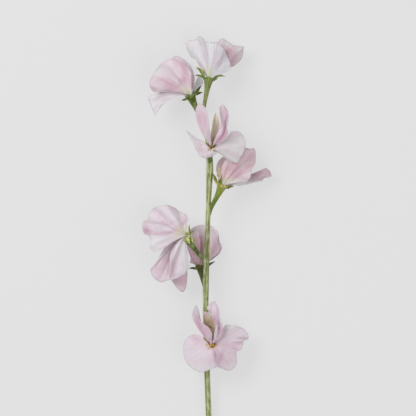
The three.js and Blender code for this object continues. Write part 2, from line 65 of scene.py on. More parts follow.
class Tint(Enum):
    """The colours that petals are washed with, as red, green and blue from 0 to 255: the petals' own colours,
    and greys and a dark brown that are painted shade.
    """

    # The near white is the petals' own pale colour, and in some washes and on the folds' crests it is painted
    # highlight.
    SNOW = (222, 219, 222)
    SHELL = (219, 206, 214)
    BLUSH = (206, 178, 193)
    ROSE = (188, 150, 168)
    # Mauve is the petals' own colour in some patches, and painted shade in the thin lines of folds.
    MAUVE = (160, 134, 146)
    # This grey is painted shade, laid along edges, in folds and by the mouths of the pale petals.
    MIST = (199, 198, 200)
    CREAM_GREEN = (205, 208, 178)
    LIME = (194, 200, 134)
    TAN = (176, 156, 128)
    OLIVE = (128, 120, 66)
    OCHRE = (204, 164, 58)
    # This dark brown is painted shade, in the keels' mouths, under bloom 1's keel and in the fold below its
    # banner's tip.
    SHADE_BROWN = (74, 62, 38)
    # This grey is painted shade along the very edges of the petals.
    RIM_SHADE = (176, 168, 176)


class Slot(Enum):
    """The finishes that a buyer of the part can change."""

    STEM = "stem_green"
    PETAL = "petal_pink"
    KEEL = "keel_tan"


# ---- Plans: the driving dimensions ----


@dataclass(frozen=True)
class Wash:
    """A soft oval patch of another colour, placed on a petal as seen from above the table.
    Many are the petal's own colour; the grey and dark ones in folds, along edges and in mouths are painted
    shade, and some white ones are painted highlight.

    Attributes:
        at: Its middle, across and along the stem, measured from the bloom's mouth.
        reach: Its half length and half width.
        tint: Its colour.
        strength: How much of it there is in its middle, from 0 to 1.
        turn: The direction of its length, in degrees from +X.
    """

    at: Pair
    reach: Pair
    tint: Tint
    strength: float
    turn: float = 0


@dataclass(frozen=True)
class Wave:
    """Waves across a petal that grow towards its rim.

    Attributes:
        height: Their height at the rim.
        half_waves: How many half waves cross the petal.
        start: Where in its swing the first one starts, in half turns.
    """

    height: float
    half_waves: float
    start: float


@dataclass(frozen=True)
class Fold:
    """A fold that fans out with the veins.

    Attributes:
        across: Its place across the petal, from -1 to 1.
        depth: How far it stands off the surface; a furrow lies below 0.
        width: Its half width, on the scale of its place.
        start: How far out it starts, from 0 at the foot to 1 at the rim.
    """

    across: float
    depth: float
    width: float
    start: float


@dataclass(frozen=True)
class Sepal:
    """One of the five points of a calyx.

    Attributes:
        bearing: Its place round the calyx, in degrees.
        length: Its length over the lip.
        lean: Its lean from the calyx's axis at the root, in degrees.
        curl: How much further it bends on its way to the point.
        width: Its greatest width.
    """

    bearing: float
    length: float
    lean: float
    curl: float
    width: float = 3.0


@dataclass(frozen=True)
class PetalPlan:
    """One petal.

    Attributes:
        seat: The bearing of its foot round the calyx.
        ground: Its colour. Where the petal lies in shade or faces away from the lamps, it is painted paler
            than the petal's own, as painted light.
        rim: The edge from one side of the claw round to the other, measured from the mouth.
        claw: How far the blade runs on along the calyx before it turns out.
        cup: How the blade swells.
        wave: The waves across it.
        crease: The depth of the groove along its rib.
        washes: The patches of other colours over it.
        folds: The folds in it.
        bows: How its first and its last side bulge.
        throat: The colour at its foot.
        pleating: The depth of its seeded pleats, as a share of the most that its kind has.
    """

    seat: float
    ground: Colour
    rim: tuple[Point, ...]
    claw: float = 6
    cup: Point = (0, 0, 0)
    wave: Wave = Wave(0, 1, 0)
    crease: float = 0.5
    washes: tuple[Wash, ...] = ()
    folds: tuple[Fold, ...] = ()
    bows: tuple[Point, Point] = ((0, 0, 0), (0, 0, 0))
    throat: Tint = Tint.CREAM_GREEN
    pleating: float = 0.8


@dataclass(frozen=True)
class BloomPlan:
    """One bloom.

    Attributes:
        number: Its number, counted from the lowest.
        node: Where its stalk leaves the stem.
        mouth: The middle of its calyx's mouth, where the stalk's curve ends.
        axis: The direction that the mouth faces.
        sepals: Its five sepals.
        banner: The broad petal at its back.
        wing_left: The petal on the left of the keel.
        wing_right: The petal on its right.
        keel: The narrow petal in the middle.
        bend: How far the two handles of the stalk's curve are pulled aside.
        eye: The colour of the pads at the banner's foot, where they show.
        lip_drop: How much lower than the others' its calyx's lip is.
    """

    number: int
    node: Point
    mouth: Point
    axis: Point
    sepals: tuple[Sepal, ...]
    banner: PetalPlan
    wing_left: PetalPlan
    wing_right: PetalPlan
    keel: PetalPlan
    bend: tuple[Point, Point] = ((0, 0, 0), (0, 0, 0))
    eye: Tint | None = None
    lip_drop: float = 0.0


@dataclass(frozen=True)
class Cut:
    """How a kind of petal is cut.

    Attributes:
        name: Its name in the plans and in its pieces' names.
        rows: Steps of its grid from the foot to the rim.
        columns: Steps across.
        from_axis: How far its foot stands off the calyx's axis.
        half_foot: Half the width of its foot.
        shorter: The share of the claw that is missing at its sides.
        ruffle: The height of the fine ruffle of its rim.
        ruffles: How many half waves that ruffle has.
        pleats: How many seeded pleats it has.
        pleat_depth: How far the deepest of them may stand off the surface.
    """

    name: str
    rows: int
    columns: int
    from_axis: float
    half_foot: float
    shorter: float
    ruffle: float
    ruffles: int
    pleats: int
    pleat_depth: float


class PetalKind(Enum):
    """The four petals of a bloom; the two wings differ only in their plans."""

    BANNER = Cut("banner", 60, 176, 1.5, 0.7, 0.5, 0.28, 19, 9, 0.3)
    WING_LEFT = Cut("wing_left", 46, 96, 1.05, 0.4, 0.4, 0.2, 11, 4, 0.21)
    WING_RIGHT = Cut("wing_right", 46, 96, 1.05, 0.4, 0.4, 0.2, 11, 4, 0.21)
    KEEL = Cut("keel", 36, 64, 1.25, 0.4, 0.5, 0.08, 7, 4, 0.21)


TAN_KEELS = (1, 5)


SNOW, SHELL, BLUSH, ROSE, MAUVE, MIST, CREAM_GREEN, LIME, TAN, OLIVE, OCHRE, SHADE_BROWN, RIM_SHADE = Tint

# The sepals of a bloom that is open to the sky.
SPREAD = (
    Sepal(45, 2.4, 135, 25), Sepal(100, 5, 115, 30), Sepal(180, 5, 75, 40), Sepal(260, 5, 115, 30),
    Sepal(315, 2.4, 135, 25),
)

# The lowest bloom, open to the sky.
LOWEST = BloomPlan(
    number=1, node=(-3.1, 85, 8.6), mouth=(0.5, 100, 21.5), axis=(0.05, 0.42, 0.9), eye=OCHRE,
    sepals=SPREAD,
    banner=PetalPlan(
        seat=341, claw=8, ground=(219, 201, 211), cup=(0, -1, 3), wave=Wave(0.7, 5, 0.2), crease=1.2,
        throat=OCHRE, pleating=0.4,
        # Among these, the greys at the inner edges and the mauve and dark brown line under the right tip are
        # painted shade.
        washes=(
            Wash((0, -17), (19, 3), SNOW, 0.45), Wash((5, -8), (10, 2.6), ROSE, 0.3, -65),
            Wash((-9, 1.5), (9, 5), BLUSH, 0.35, 10), Wash((12, 12.6), (10, 2.4), MIST, 0.7, -6),
            Wash((22.4, 6.6), (3.4, 1.6), BLUSH, 0.7, -6), Wash((21.6, 4.4), (4.6, 0.9), MAUVE, 1, -4),
            Wash((23, 4.4), (3.4, 0.7), MAUVE, 1, -4), Wash((23.4, 4.4), (2.2, 0.6), SHADE_BROWN, 0.25),
            Wash((9.5, 12), (3, 3), MIST, 0.8), Wash((4, 4.5), (3, 1.6), CREAM_GREEN, 0.6, 40),
            Wash((-5, 4.4), (3, 1.4), CREAM_GREEN, 0.5, -35), Wash((13, 4), (8, 5), SHELL, 0.5, 10),
            Wash((0.4, 0), (2.6, 1.5), OCHRE, 1), Wash((6, -9), (1.4, 8), MAUVE, 0.42, -22),
            Wash((-14, -6), (5, 7), SHELL, 0.5, 20), Wash((21, -4), (2, 6), SHELL, 0.5),
        ),
        folds=(
            Fold(0.02, -1.3, 0.06, 0.25), Fold(-0.5, 1.3, 0.25, 0.2), Fold(0.5, -1.03, 0.035, 0.5),
            Fold(0.61, -1.03, 0.03, 0.6), Fold(0.67, 0.8, 0.04, 0.5), Fold(0.4, -0.69, 0.05, 0.4),
            Fold(0.9, 0.72, 0.08, 0.3), Fold(-0.85, -0.72, 0.06, 0.35),
        ),
        rim=(
            (-8, 6.5, -1), (-12.5, 7.2, -2.2), (-18, 3.5, -5), (-19.7, -4, -6.5), (-17.8, -11.5, -6.5),
            (-12.5, -17, -5), (-6, -18.7, -2.5), (-1, -16.5, -0.5), (3.5, -15.2, -1), (8, -17.5, -3.5),
            (13.5, -18, -6), (17.8, -13, -4.5), (17.8, -5.5, -1), (20.5, -3.5, -2), (22.2, 0.6, -5.6),
            (22.9, 2.9, -6.6), (25.2, 4.7, -7.5), (24.6, 7.8, -7), (22.4, 10.7, -6.5), (16.5, 13.3, -4.5),
            (9.5, 13.8, -4),
        ),
    ),
    wing_left=PetalPlan(
        seat=114, ground=(216, 179, 195), cup=(-1, 0, 1), wave=Wave(0.4, 3, 0),
        bows=((-3.5, -1, 0), (2, -1.5, 0)), throat=OCHRE,
        washes=(
            Wash((-11.4, 24), (4, 4.6), MIST, 1, 20), Wash((-2.5, 6), (4, 1.2), SHELL, 0.5, 65),
            Wash((-7.5, 13), (1, 6), MAUVE, 0.35, 30), Wash((-5, 11), (1, 5), SHELL, 0.5, 32),
        ),
        folds=(Fold(0, -0.72, 0.2, 0.2),),
        rim=(
            (-13.8, 20.6, 0), (-13, 24.5, 0), (-11.2, 27.6, 1), (-9.2, 24.6, 4), (-8.4, 20, 7),
            (-5.4, 15.5, 10), (-2.2, 12.5, 10.5), (-0.4, 9, 9.5), (-0.2, 5, 7), (-0.5, 2.3, 4.2),
        ),
    ),
    wing_right=PetalPlan(
        # This wing faces away from the key lamp, so its ground is painted paler than its own, as painted
        # light.
        seat=239, claw=9, ground=(238, 216, 227), cup=(4.5, 0, 0.5), wave=Wave(0.4, 3, 1),
        bows=((0, 0, 0), (3, -4, 0)), throat=OCHRE,
        washes=(
            Wash((-0.6, 25), (1, 4), ROSE, 0.5, -8), Wash((3.6, 24), (0.8, 5), ROSE, 0.4, -6),
            Wash((1.6, 25), (0.8, 3.6), SNOW, 0.9, -6), Wash((1.4, 12), (1, 8), ROSE, 0.6, -3),
            Wash((5, 14), (1.2, 6), SHELL, 0.4, -20), Wash((6.5, 12), (3, 3), BLUSH, 0.4),
            Wash((1, 28.5), (2.5, 2), ROSE, 0.3),
        ),
        folds=(Fold(-0.1, -0.87, 0.12, 0.3), Fold(0.5, 0.72, 0.15, 0.3)),
        rim=(
            (0.4, 1.9, 4.3), (1.2, 5, 7), (1.9, 10, 9.5), (2.9, 14.5, 10.5), (1.3, 18.5, 9.5),
            (-1.1, 22, 7.5), (-3.1, 26, 4), (-0.6, 29.6, 1.5), (2, 30.6, 0.5), (4, 27, 0.5), (4.6, 22, 2),
            (5.2, 18.5, 3.4), (7.8, 14.5, 4), (8, 11, 4.5),
        ),
    ),
    keel=PetalPlan(
        # The dark brown throat, foot and line along the lower edge are painted shade, where the keel sinks
        # into the mouth and the left wing shades it.
        seat=176, claw=5, ground=(197, 182, 149), cup=(0, 0, -4), crease=0.6, throat=SHADE_BROWN,
        washes=(
            Wash((-3, 15.5), (2.6, 2.6), OLIVE, 0.55), Wash((-1.4, 12.6), (2, 0.8), SHADE_BROWN, 0.9, -20),
            Wash((-4, 21), (2, 2), BLUSH, 0.5), Wash((0, 4), (1.6, 3.4), SHADE_BROWN, 0.85),
        ),
        rim=(
            (-6, 18, 2.8), (-5.6, 23.3, 1.5), (-2.5, 22.6, 2), (-0.4, 20.4, 2.4), (1.7, 17.8, 2.4),
            (2.2, 14.6, 2.4), (2, 11, 2.2), (1.5, 7, 1.6), (0.9, 3.2, 1),
        ),
    ),
)

# Tucked under the stem, with its back to the table. Its petals are painted paler than their own colour, as
# painted light where the stem and bloom 3 shade them, and its stalk, calyx and sepals are painted darker, as
# painted shade.
SECOND = BloomPlan(
    number=2, node=(-4, 137, 14), mouth=(-7, 154.5, 8.5), axis=(-0.1, 0.94, -0.3),
    sepals=(
        Sepal(30, 4, 60, 60), Sepal(88, 4.2, 60, 45, 2.2), Sepal(160, 6, 30, 40), Sepal(215, 6, 30, 40),
        Sepal(280, 6.8, 50, 30, 2.2),
    ),
    banner=PetalPlan(
        seat=180, claw=7, ground=(238, 210, 223), cup=(0, 0, -3), wave=Wave(0.5, 5, 0.3),
        washes=(
            Wash((6, 14), (5, 10), SNOW, 0.6), Wash((-3, 24), (9, 3), SNOW, 0.7),
            Wash((12, 12), (2, 6), BLUSH, 0.6, 20), Wash((8, 20), (3, 7), SNOW, 0.8),
            Wash((1.5, 27), (5, 2), SNOW, 0.8), Wash((9.5, 12), (3, 7), BLUSH, 0.8, -10),
            Wash((8, 9), (2.2, 5), TAN, 0.4, -15), Wash((12, 13), (2, 4), BLUSH, 0.5),
            Wash((0, 1), (5, 2.4), CREAM_GREEN, 0.4),
        ),
        folds=(
            Fold(-0.5, -0.87, 0.08, 0.3), Fold(0.1, -1.16, 0.06, 0.3), Fold(0.4, 0.87, 0.08, 0.3),
            Fold(0.6, -0.69, 0.05, 0.3),
        ),
        rim=(
            (-7.5, 2.4, -2), (-9.5, 8, -2.5), (-10.2, 16.5, -3.5), (-9, 24, -4.5), (-5, 27.5, -5.5),
            (-0.5, 29.2, -6), (4, 29.2, -6), (8.5, 28, -5.5), (11.7, 24, -4.5), (13, 18, -3.5),
            (14.7, 13.5, -3), (12.7, 9, -2.5), (8, 4.7, -2),
        ),
    ),
    wing_left=PetalPlan(
        seat=92, claw=3, ground=(238, 202, 210), cup=(0, 0, 2), wave=Wave(0.4, 4, 0), crease=0.4,
        washes=(Wash((1, 27), (5, 3), SNOW, 0.8), Wash((-6, 5), (3, 3), SHELL, 0.5)),
        rim=((-5.5, 4.5, 0), (-8, 11.5, 0), (-8, 18.5, 0), (-5.5, 24, 0), (-2, 25, 1.5), (-0.6, 18.5, 3.5)),
    ),
    wing_right=PetalPlan(
        seat=255, claw=4, ground=(236, 213, 219), cup=(0, 0, 2), wave=Wave(0.4, 4, 0.5), crease=0.4,
        washes=(
            Wash((1, 27), (5, 3), SNOW, 0.8), Wash((11, 15), (3.6, 6), BLUSH, 0.75, -10),
            Wash((8, 8.5), (2.2, 5), TAN, 0.5, -15), Wash((13, 12), (2, 3), ROSE, 0.4),
        ),
        rim=(
            (3, 17, 4), (5, 24.5, 2), (8.5, 26, 0.5), (11, 21.5, 0), (12, 15.5, 0), (13, 12, -0.5),
            (10, 7.5, -0.5),
        ),
    ),
    keel=PetalPlan(
        seat=353, claw=8.5, ground=(238, 202, 207), cup=(0, 0, -2), crease=0.3,
        washes=(Wash((0, 4), (3, 4), TAN, 0.35),),
        rim=((-1.2, 8, 0), (-1.2, 15, -0.5), (0, 21, -1.5), (1.8, 22, -1.5), (2.6, 16, -0.5)),
    ),
)

# Turned to the left.
THIRD = BloomPlan(
    number=3, node=(-3.6, 160, 16.8), mouth=(-18, 175.5, 23), axis=(-0.82, 0.5, 0.3),
    bend=((-5, -3, 0), (-3, -1.5, 0)),
    sepals=(
        Sepal(20, 3.5, 100, 30), Sepal(100, 4, 95, 30), Sepal(175, 6, 45, 60), Sepal(245, 4, 118, 20, 2.4),
        Sepal(285, 6, 48, 12, 2.2),
    ),
    banner=PetalPlan(
        seat=280, claw=10, ground=(218, 206, 214), cup=(0, 1, 3), wave=Wave(1.1, 6, 0.5), crease=0.6,
        washes=(
            Wash((-27.5, 6), (3.2, 5), ROSE, 0.75, 10), Wash((-5, 19), (9, 2.2), ROSE, 0.55, -18),
            Wash((-16, 10), (7, 1.4), BLUSH, 0.7, 22), Wash((-9, 4), (9, 1.3), BLUSH, 0.6, 30),
            Wash((-17, 15), (8, 3), SHELL, 0.5, 10), Wash((-3.5, 4), (4.4, 3.4), LIME, 0.5, 45),
            Wash((-22, -8), (4, 1.6), MIST, 0.8, -10), Wash((-14, -5), (7, 2.2), SNOW, 0.6, 30),
            Wash((-12, 9), (10, 1.2), MAUVE, 0.25, 24), Wash((-9, 13), (10, 1.8), SNOW, 0.6, 22),
            Wash((-19, -3), (5, 3), SNOW, 0.6, 20), Wash((-26, 3), (3, 1.4), MAUVE, 0.4, -60),
        ),
        folds=(
            Fold(0.42, -1.59, 0.07, 0.25), Fold(0.2, 1.3, 0.1, 0.3), Fold(-0.08, -1.01, 0.06, 0.35),
            Fold(-0.42, 1.16, 0.13, 0.3), Fold(-0.8, -0.87, 0.06, 0.3), Fold(0.76, 1.01, 0.08, 0.35),
            Fold(0.95, -0.46, 0.05, 0.3),
        ),
        rim=(
            (2, 9, -1), (1.5, 14.5, -4), (-3, 18, -5), (-9, 21, -4), (-15.5, 21, -3), (-22, 20.5, -5),
            (-25.5, 17, -6), (-26.5, 12, -2), (-29.5, 8.5, 1), (-29, 3, 3), (-25, 0.5, 6), (-24, -3, 6.5),
            (-24.5, -7.5, 5), (-21, -10.8, 5), (-17.5, -9.7, 6.5),
        ),
    ),
    wing_left=PetalPlan(
        seat=105, claw=9, ground=(216, 195, 204), cup=(0, 0, 1), wave=Wave(0.6, 4, 0), crease=0.4,
        washes=(
            Wash((-10.5, -15), (1, 10), MAUVE, 0.45, -8), Wash((-22, -22), (3, 4), BLUSH, 0.5, 30),
            Wash((-15, -13), (2, 9), SHELL, 0.45, -22), Wash((-19, -29), (3, 2), BLUSH, 0.6),
            Wash((-14, -22), (2.4, 7), SNOW, 0.3, -12),
        ),
        folds=(Fold(0.72, -0.87, 0.1, 0.25), Fold(0, 1.16, 0.22, 0.2), Fold(-0.6, -0.58, 0.1, 0.3)),
        rim=(
            (-4, 0.4, 1), (-8, -3, 1.5), (-13.5, -6.5, 1), (-17, -12, 0), (-21, -18, -1.5),
            (-24.2, -22.8, -3), (-22.8, -27.5, -3), (-17.5, -31.8, -2), (-13.5, -30.7, -1), (-10.5, -30.2, 0),
        ),
    ),
    wing_right=PetalPlan(
        seat=24, claw=7, ground=(227, 217, 224), cup=(1, 0, 2), wave=Wave(0.6, 4, 0.5),
        washes=(
            Wash((1.5, -14), (2.2, 11), SNOW, 0.9), Wash((-9, -20), (2, 9), BLUSH, 0.8, 4),
            Wash((-6, -27), (6, 2.4), BLUSH, 0.7, 10), Wash((-2.5, -10), (3, 5), SNOW, 0.7, 20),
            Wash((-8.5, -9), (1.2, 7), MAUVE, 0.3, -8),
        ),
        folds=(
            Fold(0.1, -0.72, 0.1, 0.3), Fold(0.55, 1.16, 0.2, 0.2), Fold(-0.35, 0.87, 0.12, 0.2),
            Fold(-0.62, -0.58, 0.08, 0.3),
        ),
        rim=(
            (-2.8, -2.7, 2.5), (-8, -7, 6.5), (-10.5, -13.5, 7.5), (-11, -20.5, 7.5), (-11.2, -27, 6),
            (-9.5, -30, 4.5), (-5.5, -28.8, 3.5), (-1, -26, 1.5), (2.7, -21, 0), (3.8, -14.5, 0.5),
        ),
    ),
    keel=PetalPlan(
        seat=215, claw=9, ground=(203, 174, 184), cup=(0, 0, -2), crease=0.8,
        washes=(Wash((-6, -31), (2.4, 5), MAUVE, 0.35, 30), Wash((-1, -33), (1.6, 5), BLUSH, 0.5)),
        rim=(
            (-3.4, -1.6, -2), (-7, -10, -4.5), (-9.5, -19, -6), (-10.3, -28, -7), (-7, -34.5, -7.5),
            (-2, -38.8, -8), (0.3, -36, -8.5), (1.5, -26.5, -10),
        ),
    ),
)

# Half closed, to the right.
FOURTH = BloomPlan(
    number=4, node=(-1, 191, 18.2), mouth=(8, 212, 21), axis=(0.37, 0.92, 0.1),
    sepals=(
        Sepal(16, 10, 56, -38, 2.6), Sepal(90, 7.5, 40, 10, 3.6), Sepal(150, 6, 30, 50),
        Sepal(215, 6, 30, 50), Sepal(268, 4.5, 35, 45),
    ),
    banner=PetalPlan(
        seat=0, ground=(224, 190, 196), cup=(0, 0, 5), wave=Wave(1.2, 6, 0.4), crease=0.8,
        washes=(
            Wash((11.5, 2), (9.5, 3), SNOW, 0.7, 8), Wash((12.4, 5), (3, 1.1), MAUVE, 0.6, 10),
            Wash((9, 9), (1.6, 8), BLUSH, 0.7, -45), Wash((14, 13), (1.6, 8), BLUSH, 0.45, -35),
            Wash((21, 19), (3, 4), MAUVE, 0.4, -30), Wash((3.4, 2.6), (3.4, 2.8), CREAM_GREEN, 0.8, 10),
            Wash((7, 1.4), (3, 1.4), SNOW, 0.6, -10), Wash((6, 13), (1.4, 7), MAUVE, 0.3, -35),
            Wash((5, 17), (1.4, 6), SNOW, 0.35, -40), Wash((17, 20), (5, 1.2), SNOW, 0.3, 60),
            Wash((12, 8), (1.2, 8), MAUVE, 0.35, -55), Wash((8.8, 3.2), (2, 1.4), TAN, 0.35),
            Wash((15.8, 10.2), (2.4, 2.4), SNOW, 0.5), Wash((12.3, 17.2), (2, 3), SNOW, 0.45),
            Wash((5.5, 11.5), (3, 4), MAUVE, 0.3, -45),
        ),
        folds=(
            Fold(-0.66, -0.65, 0.1, 0.3), Fold(-0.38, 0.72, 0.14, 0.25), Fold(-0.05, -0.65, 0.12, 0.3),
            Fold(0.24, 0.72, 0.12, 0.25), Fold(0.47, -0.65, 0.1, 0.3), Fold(0.7, 0.65, 0.08, 0.3),
            Fold(0.88, -0.4, 0.05, 0.35),
        ),
        rim=(
            (-0.8, 3.6, 1.2), (-1, 9, 2.2), (1.5, 14, 1.5), (4.5, 19, 1), (9, 23.5, -0.5), (14.5, 25.5, -3),
            (19, 24.5, -5), (22, 25, -6.5), (24, 20.5, -6.5), (23.5, 15.5, -5), (20.5, 11, -3),
            (19.5, 6.5, -2.5), (18, 3, -2.5), (13, 0.8, -1.5),
        ),
    ),
    wing_left=PetalPlan(
        # This wing slopes away from the key lamp, so its ground is painted paler than its own, as painted
        # light.
        seat=90, ground=(236, 198, 202), wave=Wave(0.5, 4, 0), crease=0.4, throat=BLUSH,
        washes=(
            Wash((-2.6, 8), (3, 3.4), LIME, 0.6), Wash((-3, 6.4), (3, 2.2), OLIVE, 0.4),
            Wash((-3, 16), (2.8, 3), SNOW, 0.8),
        ),
        rim=(
            (-3.8, 6, -3), (-4.5, 11, -5), (-3, 16, -7), (0.5, 19.5, -9), (3, 20.5, -9), (4.5, 15, -6.5),
            (3, 7.5, -3),
        ),
    ),
    wing_right=PetalPlan(
        seat=270, ground=(176, 150, 156), wave=Wave(0.5, 5, 0.5), bows=((4, -9, 0), (0, 0, 0)),
        washes=(
            Wash((13, 0.4), (9, 2), SNOW, 0.95, 4), Wash((28, 7), (5, 1.4), BLUSH, 0.6, 30),
            Wash((25, 2.4), (4, 0.8), SNOW, 0.6, 10), Wash((32, 9), (4, 4), ROSE, 0.6),
            Wash((26, 1.8), (5, 1), MIST, 0.7, 5), Wash((22, 5.5), (5, 1.6), MAUVE, 0.5, 10),
        ),
        folds=(Fold(-0.3, -0.87, 0.12, 0.35), Fold(0.3, 0.72, 0.15, 0.3)),
        rim=(
            (2.8, 1.5, -1.2), (11, 5, -5), (18, 5.2, -8), (22, 4.6, -9.5), (25, 5.8, -10.5), (27.4, 9.2, -11),
            (30, 11.8, -11), (32.6, 10.2, -12), (34.4, 6, -12), (29.6, 4.6, -12), (28.4, 2.6, -13),
            (20.5, 0.8, -11.5), (12, -0.4, -8.5),
        ),
    ),
    keel=PetalPlan(
        seat=180, claw=5, ground=(196, 186, 186), cup=(0, 2, -1), crease=0.6,
        washes=(Wash((-4, 0), (4, 3), MAUVE, 0.3),),
        rim=(
            (0, 2.6, -3), (1.5, 7, -9), (5, 12, -16), (9, 15.5, -21), (12.5, 14, -21), (13.5, 10, -16),
            (8, 4.5, -9),
        ),
    ),
)

# The second bloom that opens to the sky.
FIFTH = BloomPlan(
    number=5, node=(-0.9, 222, 19.6), mouth=(0, 238.5, 31.5), axis=(0.05, 0.42, 0.9), eye=OLIVE,
    sepals=SPREAD,
    banner=PetalPlan(
        seat=359, claw=9, ground=(221, 212, 215), cup=(0, -1, 3), wave=Wave(0.7, 6, 0.2), crease=1,
        bows=((0, 0, 0), (1.6, -1.2, 0)), throat=OCHRE, pleating=0.6,
        # The greys by the mouth and along the right lobe's inner edge are painted shade.
        washes=(
            Wash((-7, -2), (7, 4.5), BLUSH, 0.55, -30), Wash((6, -3.6), (3.4, 1.6), MIST, 0.9),
            Wash((16, -3), (6, 5), SNOW, 0.7), Wash((17, 9), (7, 2), BLUSH, 0.35, 10),
            Wash((-15.5, 10), (3, 2), MIST, 0.6, -35), Wash((0, 0), (2.2, 1.3), OCHRE, 0.9),
            Wash((12, -1), (2, 6), MIST, 0.35, -20), Wash((13, 5), (2.4, 4), SNOW, 0.6, -30),
            Wash((9, 3), (1.6, 4), MIST, 0.5, -50), Wash((-12, 3), (2, 5), SNOW, 0.4, -10),
        ),
        folds=(
            Fold(0.06, -1.3, 0.06, 0.2), Fold(0.2, 1.16, 0.06, 0.35), Fold(-0.45, -0.72, 0.08, 0.4),
            Fold(0.45, -0.72, 0.09, 0.4), Fold(0.72, 0.87, 0.12, 0.3), Fold(0.93, -0.57, 0.05, 0.4),
            Fold(-0.2, 0.72, 0.08, 0.3),
        ),
        rim=(
            (-6.7, 4, -0.9), (-11.5, 5.8, -1.5), (-14.6, 7.8, -3), (-17.3, 11, -4.5), (-14.9, 6.2, -4.5),
            (-12.8, 2.4, -4.5), (-11.2, -2, -4), (-7, -6, -2.5), (-2, -7.3, -1), (1.5, -6.4, 0),
            (4, -5.2, 0.2), (7, -5, -1.2), (10.5, -6.8, -4), (14.4, -9.6, -6), (18, -11.2, -5),
            (21.3, -6.5, -5), (23.8, 0.3, -6.5), (22.8, 6.8, -7), (18.7, 10.6, -5), (14, 10.4, -3),
        ),
    ),
    wing_left=PetalPlan(
        seat=109, ground=(215, 185, 198), cup=(-1, 0, 1), wave=Wave(0.4, 3, 0),
        bows=((-6.5, 0, 0), (3, 0, 0)), throat=TAN,
        washes=(
            Wash((-2.4, 6), (1.6, 5), SNOW, 0.8, 12), Wash((-4.4, 4.6), (1.6, 2), LIME, 0.5),
            Wash((-7, 19), (2.4, 5), ROSE, 0.35, 14), Wash((-9, 26), (2.4, 2.4), MIST, 0.7),
            Wash((-5, 14), (1.6, 8), SHELL, 0.4, 12), Wash((-1.5, 7), (1.4, 4), ROSE, 0.35, 5),
        ),
        folds=(Fold(0, 0.72, 0.25, 0.2),),
        rim=(
            (-10.3, 27, 0), (-8.6, 29.8, 1), (-5, 27.8, 4), (-3, 23, 8), (-1.7, 17, 10.5), (-1, 11, 10),
            (-0.9, 5, 7.5), (-0.7, 2.3, 4.5),
        ),
    ),
    wing_right=PetalPlan(
        # This wing faces away from the key lamp, so its ground is painted paler than its own, as painted
        # light.
        seat=259, claw=8.5, ground=(238, 205, 221), cup=(5, 0, 3), wave=Wave(0.4, 4, 1),
        bows=((0, 0, 0), (4, -5, 0)), throat=TAN,
        washes=(
            Wash((8.6, 19), (0.8, 5), SNOW, 0.95, 6), Wash((6.2, 23), (1.2, 6), ROSE, 0.3, 10),
            Wash((11, 22), (1, 6), ROSE, 0.2, -4), Wash((7, 4.5), (4, 2.6), BLUSH, 0.5, 30),
            Wash((9.5, 25), (2, 3), ROSE, 0.25),
        ),
        folds=(Fold(0, -0.87, 0.12, 0.3), Fold(0.55, 0.72, 0.15, 0.3)),
        rim=(
            (1.3, 1.3, 4.4), (2.5, 5, 7), (5, 10, 9.5), (7.8, 13.5, 10.5), (7.2, 17, 9.5), (5.8, 22, 8),
            (5.2, 26, 5), (7.5, 28.9, 2.5), (11.2, 25.5, 1.5), (10.8, 19, 3.5), (10, 15, 4.8), (12, 10.5, 5),
        ),
    ),
    keel=PetalPlan(
        # This keel lies in shade between the wings, so its ground is painted paler than its own, as painted
        # light.
        seat=188, claw=5.5, ground=(238, 236, 209), cup=(0, 0, -4), crease=0.6, throat=OLIVE,
        washes=(Wash((1.8, 4.6), (1.4, 2), OLIVE, 0.6), Wash((5, 14), (1.2, 7), BLUSH, 0.7, -8)),
        rim=(
            (-0.5, 3.3, 0.9), (0, 8, 1.8), (0.8, 14, 2.2), (1.8, 19.5, 2.2), (3.2, 23.3, 0.8),
            (5.3, 18.5, 2.6), (6, 13.5, 3), (4.2, 8.5, 2.6),
        ),
    ),
)

